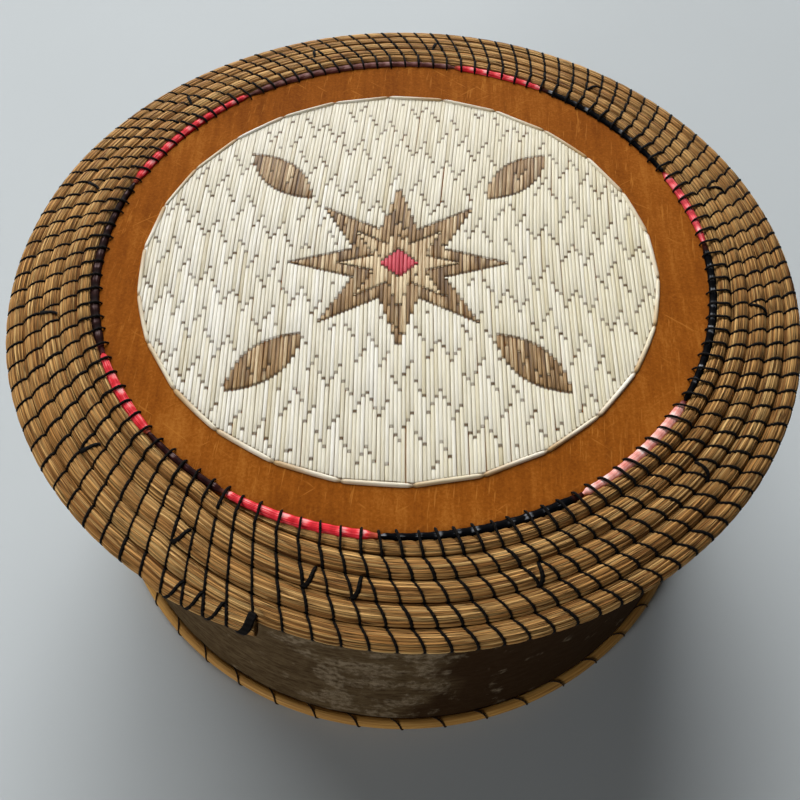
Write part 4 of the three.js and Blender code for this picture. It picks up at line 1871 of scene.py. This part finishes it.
@dataclass(frozen=True)
class BarkHoop:
    """A bark strip bent round, whose thinned ends lap over each other at the back."""

    name: str
    node: str
    body: Body
    finish: Finish
    radius: float
    thickness: float
    bottom: float
    top: float
    lap: float = 14 * MM
    relief: float = 0.35 * MM
    flare: float = 0.0
    # an arc, its middle and half length in degrees, painted darker: partly damp bark, partly painted
    # shade under the brim
    damp: tuple[float, float] = (-46, 40)
    crust: tuple[float, float] = (-95, 12)
    lap_step: float = 0.003
    lap_gap: float = 0.15 * MM
    stations: int = 560
    levels: int = 22
    seed: int = 31

    def arc(self, angle: Array, arc: tuple[float, float]) -> Array:
        """1 on an arc round the axis and 0 off it, with soft ends.

        Args:
            angle: Where to read it.
            arc: The arc's middle and half its length, in degrees.

        Returns:
            The mask.
        """
        away = np.degrees(np.arccos(np.clip(np.cos(angle - math.radians(arc[0])), -1, 1)))
        return 1 - smooth_step(away, arc[1] - 5, arc[1] + 5)

    def build(self) -> bpy.types.Object:
        """Sections carried round the axis, with rough relief on the outer face.

        The outer face moves by noise that is longer round the wall than up it.

        Returns:
            The dressed piece.
        """
        rng = np.random.default_rng(self.seed)
        seam = self.lap / self.radius
        half = self.thickness / 2
        step = self.lap_step
        body = np.linspace(seam + 2 * step, FULL_TURN - 2 * step, self.stations)
        lapped = np.array([0, seam / 2, seam])
        joints = [lapped, [seam + step], body, [FULL_TURN - step], FULL_TURN + lapped]
        angle = np.concatenate(joints)
        outer_only = angle < seam + 1.5 * step
        inner_only = angle > FULL_TURN - 1.5 * step
        low = np.where(outer_only, -half + self.lap_gap, -2 * half)
        high = np.where(inner_only, -half - self.lap_gap, 0.0)
        way = np.linspace(0, 1, self.levels)
        u = (angle / FULL_TURN)[:, None]
        rough = lattice_noise(u, way, (70, 9), rng) + 0.6 * lattice_noise(u, way, (190, 26), rng)
        rough = rough + 0.35 * lattice_noise(u, way, (420, 60), rng)
        worn = self.relief * (np.minimum(rough, 0.6) - 0.6) / 2
        outside = high[:, None] + worn * (~inner_only)[:, None]
        inside = low[:, None] + 0 * way
        share = np.concatenate([way, way[::-1]])
        spread = self.flare * (1 - smooth_step(share, 0.03, 0.5))
        radius = self.radius + np.concatenate([outside, inside[:, ::-1]], 1) + spread
        height = share * (self.top - self.bottom) + self.bottom
        turned = (angle + FULL_TURN / 4)[:, None]
        points = polar(radius, turned, height)
        around = np.concatenate([height, [height[0] - 2 * self.thickness]])
        uv = paired(angle[:, None] * self.radius, around)
        mask = np.concatenate([0 * way, 0 * way + 1])
        wobble = lattice_noise(u, share, (30, 3), rng) + 0.5 * lattice_noise(u, share, (110, 9), rng)
        shifted = turned + math.radians(5) * wobble
        # the arc darkened as damp bark and painted shade, and the arc of the lichen
        damp, crust = (self.arc(shifted, arc)[None] for arc in (self.damp, self.crust))
        marks = {"inside": mask[None, None], "damp": damp, "crust": crust}
        grid = Grid(points[None], uv[None], marks)
        return lay(self.name, grid, self.finish, self.body, self.node)


# The hoops and their lashing


@dataclass(frozen=True)
class LashedHoop:
    """A round rod outside the wall with one thread wound over it."""

    place: str
    height: float
    turns: int
    middle_radius: float
    half_width: float = 1.6 * MM
    half_height: float = 2.1 * MM
    thread_radius: float = 0.22 * MM
    unevenness: float = 0.035
    thread_lift: float = 1.03
    slowing: float = 0.12
    seed: int = 50

    def rod(self) -> bpy.types.Object:
        """A rod bent into a ring, whose thickness wanders and whose inner side lies flat.

        Returns:
            The dressed piece.
        """
        rng = np.random.default_rng(self.seed)
        rows, sides = 420, 14
        angle = ring_angles(rows) + FULL_TURN / 4
        turn = ring_angles(sides)
        size = (1 + self.unevenness * wander(angle, (3.0, 7.0, 16.0, 31.0), rng))[:, None]
        across = np.where(np.cos(turn) < 0, -np.abs(np.cos(turn)) ** 0.35, np.cos(turn))
        radius = self.middle_radius + self.half_width * size * across
        points = polar(radius, angle[:, None], self.height + self.half_height * size * np.sin(turn))
        along = girth_steps(rows, FULL_TURN * self.middle_radius)[:, None]
        uv = paired(along, girth_steps(sides, FULL_TURN * self.half_height))
        grid = Grid(points[None], uv[None], ring=True)
        return lay(f"{self.place}_rod", grid, HoopWood(), Body.BASE, f"{self.place}_hoop")

    def thread(self) -> bpy.types.Object:
        """A winding round the rod that crosses its outside steeply and moves on behind it.

        The angle round the basket is the winding's even share of the ring, less a sine of the
        winding itself, which slows it on the outside.

        Returns:
            The dressed piece.
        """
        steps = 20
        rows = (self.turns - 1) * steps + 1
        winding = np.arange(rows) * FULL_TURN / steps
        share = FULL_TURN / self.turns
        around = (winding / FULL_TURN - self.slowing * np.sin(winding)) * share + FULL_TURN / 4
        lift = self.thread_lift + self.thread_radius * 0.8 / self.half_height
        radius = self.middle_radius + self.half_width * lift * np.cos(winding)
        path = polar(radius, around, self.height - self.half_height * lift * np.sin(winding))[None]
        middle = polar(self.middle_radius, around, self.height + 0 * around)[None]
        sides = 6
        points = tube_along(path, self.thread_radius * 1.2, self.thread_radius, path - middle, sides)
        grid = Grid(points, tube_uv(path, FULL_TURN * self.thread_radius, sides))
        name = f"{self.place}_winding"
        return lay(name, grid, HOOP_THREAD, Body.BASE, f"{self.place}_lashing")

    def build(self) -> None:
        """Builds the rod and its thread."""
        self.rod()
        self.thread()


@dataclass(frozen=True)
class Base:
    """The wall, the floor and the two hoops, fitted to the frame's own boxes."""

    wall_radius: float = 101.5 * MM
    wall_thickness: float = 1.6 * MM
    wall_flare: float = 1.8 * MM
    hoop_offset: float = 1.3 * MM

    def build(self) -> None:
        """Builds the base from the floor up."""
        floor_low, floor_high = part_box("base_floor")
        BarkDisc(
            "floor_bark", "base_floor", Body.BASE, PlainBark(), floor_high.x, floor_low.z,
            floor_high.z - floor_low.z, 0.3 * MM, 61,
        ).build()
        wall_low, wall_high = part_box("base_wall")
        BarkHoop(
            "wall_bark", "base_wall", Body.BASE, OuterBark(), self.wall_radius,
            self.wall_thickness, wall_low.z, wall_high.z, flare=self.wall_flare,
        ).build()
        for place, turns, flare, seed in (("foot", 48, self.wall_flare, 51), ("rim", 24, 0.0, 52)):
            low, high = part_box(f"{place}_hoop")
            radius = self.wall_radius + flare + self.hoop_offset
            LashedHoop(place, (low.z + high.z) / 2, turns, radius, seed=seed).build()


@dataclass(frozen=True)
class LidSheets:
    """The lid's two bark discs and the collar under them."""

    collar_radius: float = 99.3 * MM
    collar_thickness: float = 1.4 * MM

    def build(self) -> None:
        """Builds the sheets from the top down."""
        for name, node, finish, uneven, seed in (
            ("lid_bark", "lid_bark_top", InnerBark(), 0.12 * MM, 71),
            ("lid_lining_bark", "lid_lining", PlainBark(), 0.25 * MM, 72),
        ):
            low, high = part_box(node)
            BarkDisc(name, node, Body.LID, finish, high.x, low.z, high.z - low.z, uneven, seed).build()
        low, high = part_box("lid_collar")
        BarkHoop(
            "collar_bark", "lid_collar", Body.LID, PlainBark(), self.collar_radius,
            self.collar_thickness, low.z, high.z, relief=0.12 * MM, seed=73,
        ).build()


# The studio


@dataclass(frozen=True)
class Studio:
    """The table, the soft lights and the camera."""

    table_colour: Colour = (0.520, 0.557, 0.571)
    backdrop_colour: Colour = (0.60, 0.63, 0.65)
    ambient: float = 0.01
    camera_place: tuple[float, float, float] = (-0.00097, -0.18625, 0.31425)
    camera_tip: float = math.radians(33.513)
    camera_roll: float = math.radians(0.295)
    lens: float = 42.75
    sensor: float = 36.0
    table_reach: float = 4.0
    aim_height: float = 0.06
    lamps: tuple[tuple[str, float, float, float, float, float], ...] = (
        ("window", 106, 34, 5.0, 5.4, 415),
        ("window_edge", 90, 34, 5.0, 2.2, 84),
        ("front_fill", 230, 18, 1.5, 0.5, 8.8),
    )

    def table(self) -> None:
        """A wide pale table top, made as one grid."""
        side = np.linspace(-self.table_reach, self.table_reach, 9)
        x, y = np.meshgrid(side, side, indexing="ij")
        points = np.stack([x, y, 0 * x], -1)[None]
        uv = paired(x, y)[None]
        piece = Piece("table_top").add(Grid(points, uv, tube=False, capped=False)).build()
        material = bpy.data.materials.new("table")
        material.use_nodes = True
        nodes = Nodes(material.node_tree)
        shader = material.node_tree.nodes["Principled BSDF"]
        shader.inputs["Roughness"].default_value = 0.7
        shader.inputs["Specular IOR Level"].default_value = 0.1
        shade = nodes.span(nodes.noise(nodes.place(), 5.0, 3.0), 0.3, 0.7)
        paler = tuple(channel * 1.04 for channel in self.table_colour)
        nodes.feed(shader.inputs["Base Color"], nodes.mix(shade, self.table_colour, paler))
        piece.data.materials.append(material)

    def sky(self) -> None:
        """Even light from all round, behind a pale backdrop that rays to the eye and gloss see."""
        world = bpy.data.worlds.new("studio")
        bpy.context.scene.world = world
        world.use_nodes = True
        nodes = Nodes(world.node_tree)
        lit = world.node_tree.nodes["Background"]
        lit.inputs["Color"].default_value = (0.93, 0.97, 1.0, 1.0)
        lit.inputs["Strength"].default_value = self.ambient
        seen = nodes.add("Background", {"Color": self.backdrop_colour, "Strength": 1.0})
        path = nodes.add("LightPath").outputs
        glossy = nodes.math("MAXIMUM", path["Is Glossy Ray"], path["Is Transmission Ray"])
        eye = nodes.math("MAXIMUM", path["Is Camera Ray"], glossy)
        mixed = nodes.add("MixShader", {0: eye, 1: lit.outputs[0], 2: seen.outputs[0]})
        output = world.node_tree.nodes["World Output"]
        nodes.feed(output.inputs["Surface"], mixed.outputs[0])

    def lamp(
        self, name: str, turn: float, rise: float, far: float, size: float, power: float
    ) -> None:
        """A square soft light that faces the basket.

        Args:
            name: The lamp's name.
            turn: Its direction round the basket, in degrees.
            rise: Its elevation, in degrees.
            far: How far it stands from the basket.
            size: Its side.
            power: Its power in watts.
        """
        level = far * math.cos(math.radians(rise))
        place = Vector((
            level * math.cos(math.radians(turn)),
            level * math.sin(math.radians(turn)),
            far * math.sin(math.radians(rise)),
        ))
        light = bpy.data.lights.new(name, "AREA")
        light.shape = "SQUARE"
        light.size = size
        light.energy = power
        lamp = bpy.data.objects.new(name, light)
        bpy.context.scene.collection.objects.link(lamp)
        lamp.location = place
        aim = Vector((0, 0, self.aim_height)) - place
        lamp.rotation_euler = aim.to_track_quat("-Z", "Y").to_euler()

    def camera(self) -> None:
        """The camera at the photograph's place."""
        data = bpy.data.cameras.new("camera")
        data.lens = self.lens
        data.sensor_width = self.sensor
        data.clip_start = 0.01
        camera = bpy.data.objects.new("camera", data)
        bpy.context.scene.collection.objects.link(camera)
        camera.location = self.camera_place
        turn = Matrix.Rotation(self.camera_tip, 3, "X") @ Matrix.Rotation(self.camera_roll, 3, "Z")
        camera.rotation_euler = turn.to_euler()
        bpy.context.scene.camera = camera

    def build(self) -> None:
        """Builds the studio."""
        bpy.context.scene.view_settings.view_transform = "Standard"
        self.table()
        self.sky()
        for lamp in self.lamps:
            self.lamp(*lamp)
        self.camera()


def write_sizes() -> None:
    """Brings the view layer up to date.
    """
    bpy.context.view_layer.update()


def main() -> None:
    """Builds the basket and its studio around the frame."""
    logging.basicConfig(level=logging.INFO, format="%(name)s: %(message)s")
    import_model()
    studio = Studio()
    brim = Brim()
    parts: dict[str, Callable[[], object]] = {
        "studio": studio.build,
        "base": Base().build,
        "lid sheets": LidSheets().build,
        "panel": Panel().build,
        "edge quills": EdgeQuills(brim).build,
        "brim": brim.build,
    }
    for name, build in parts.items():
        build()
        LOG.info("built %s", name)
    write_sizes()


if __name__ == "__main__":
    main()
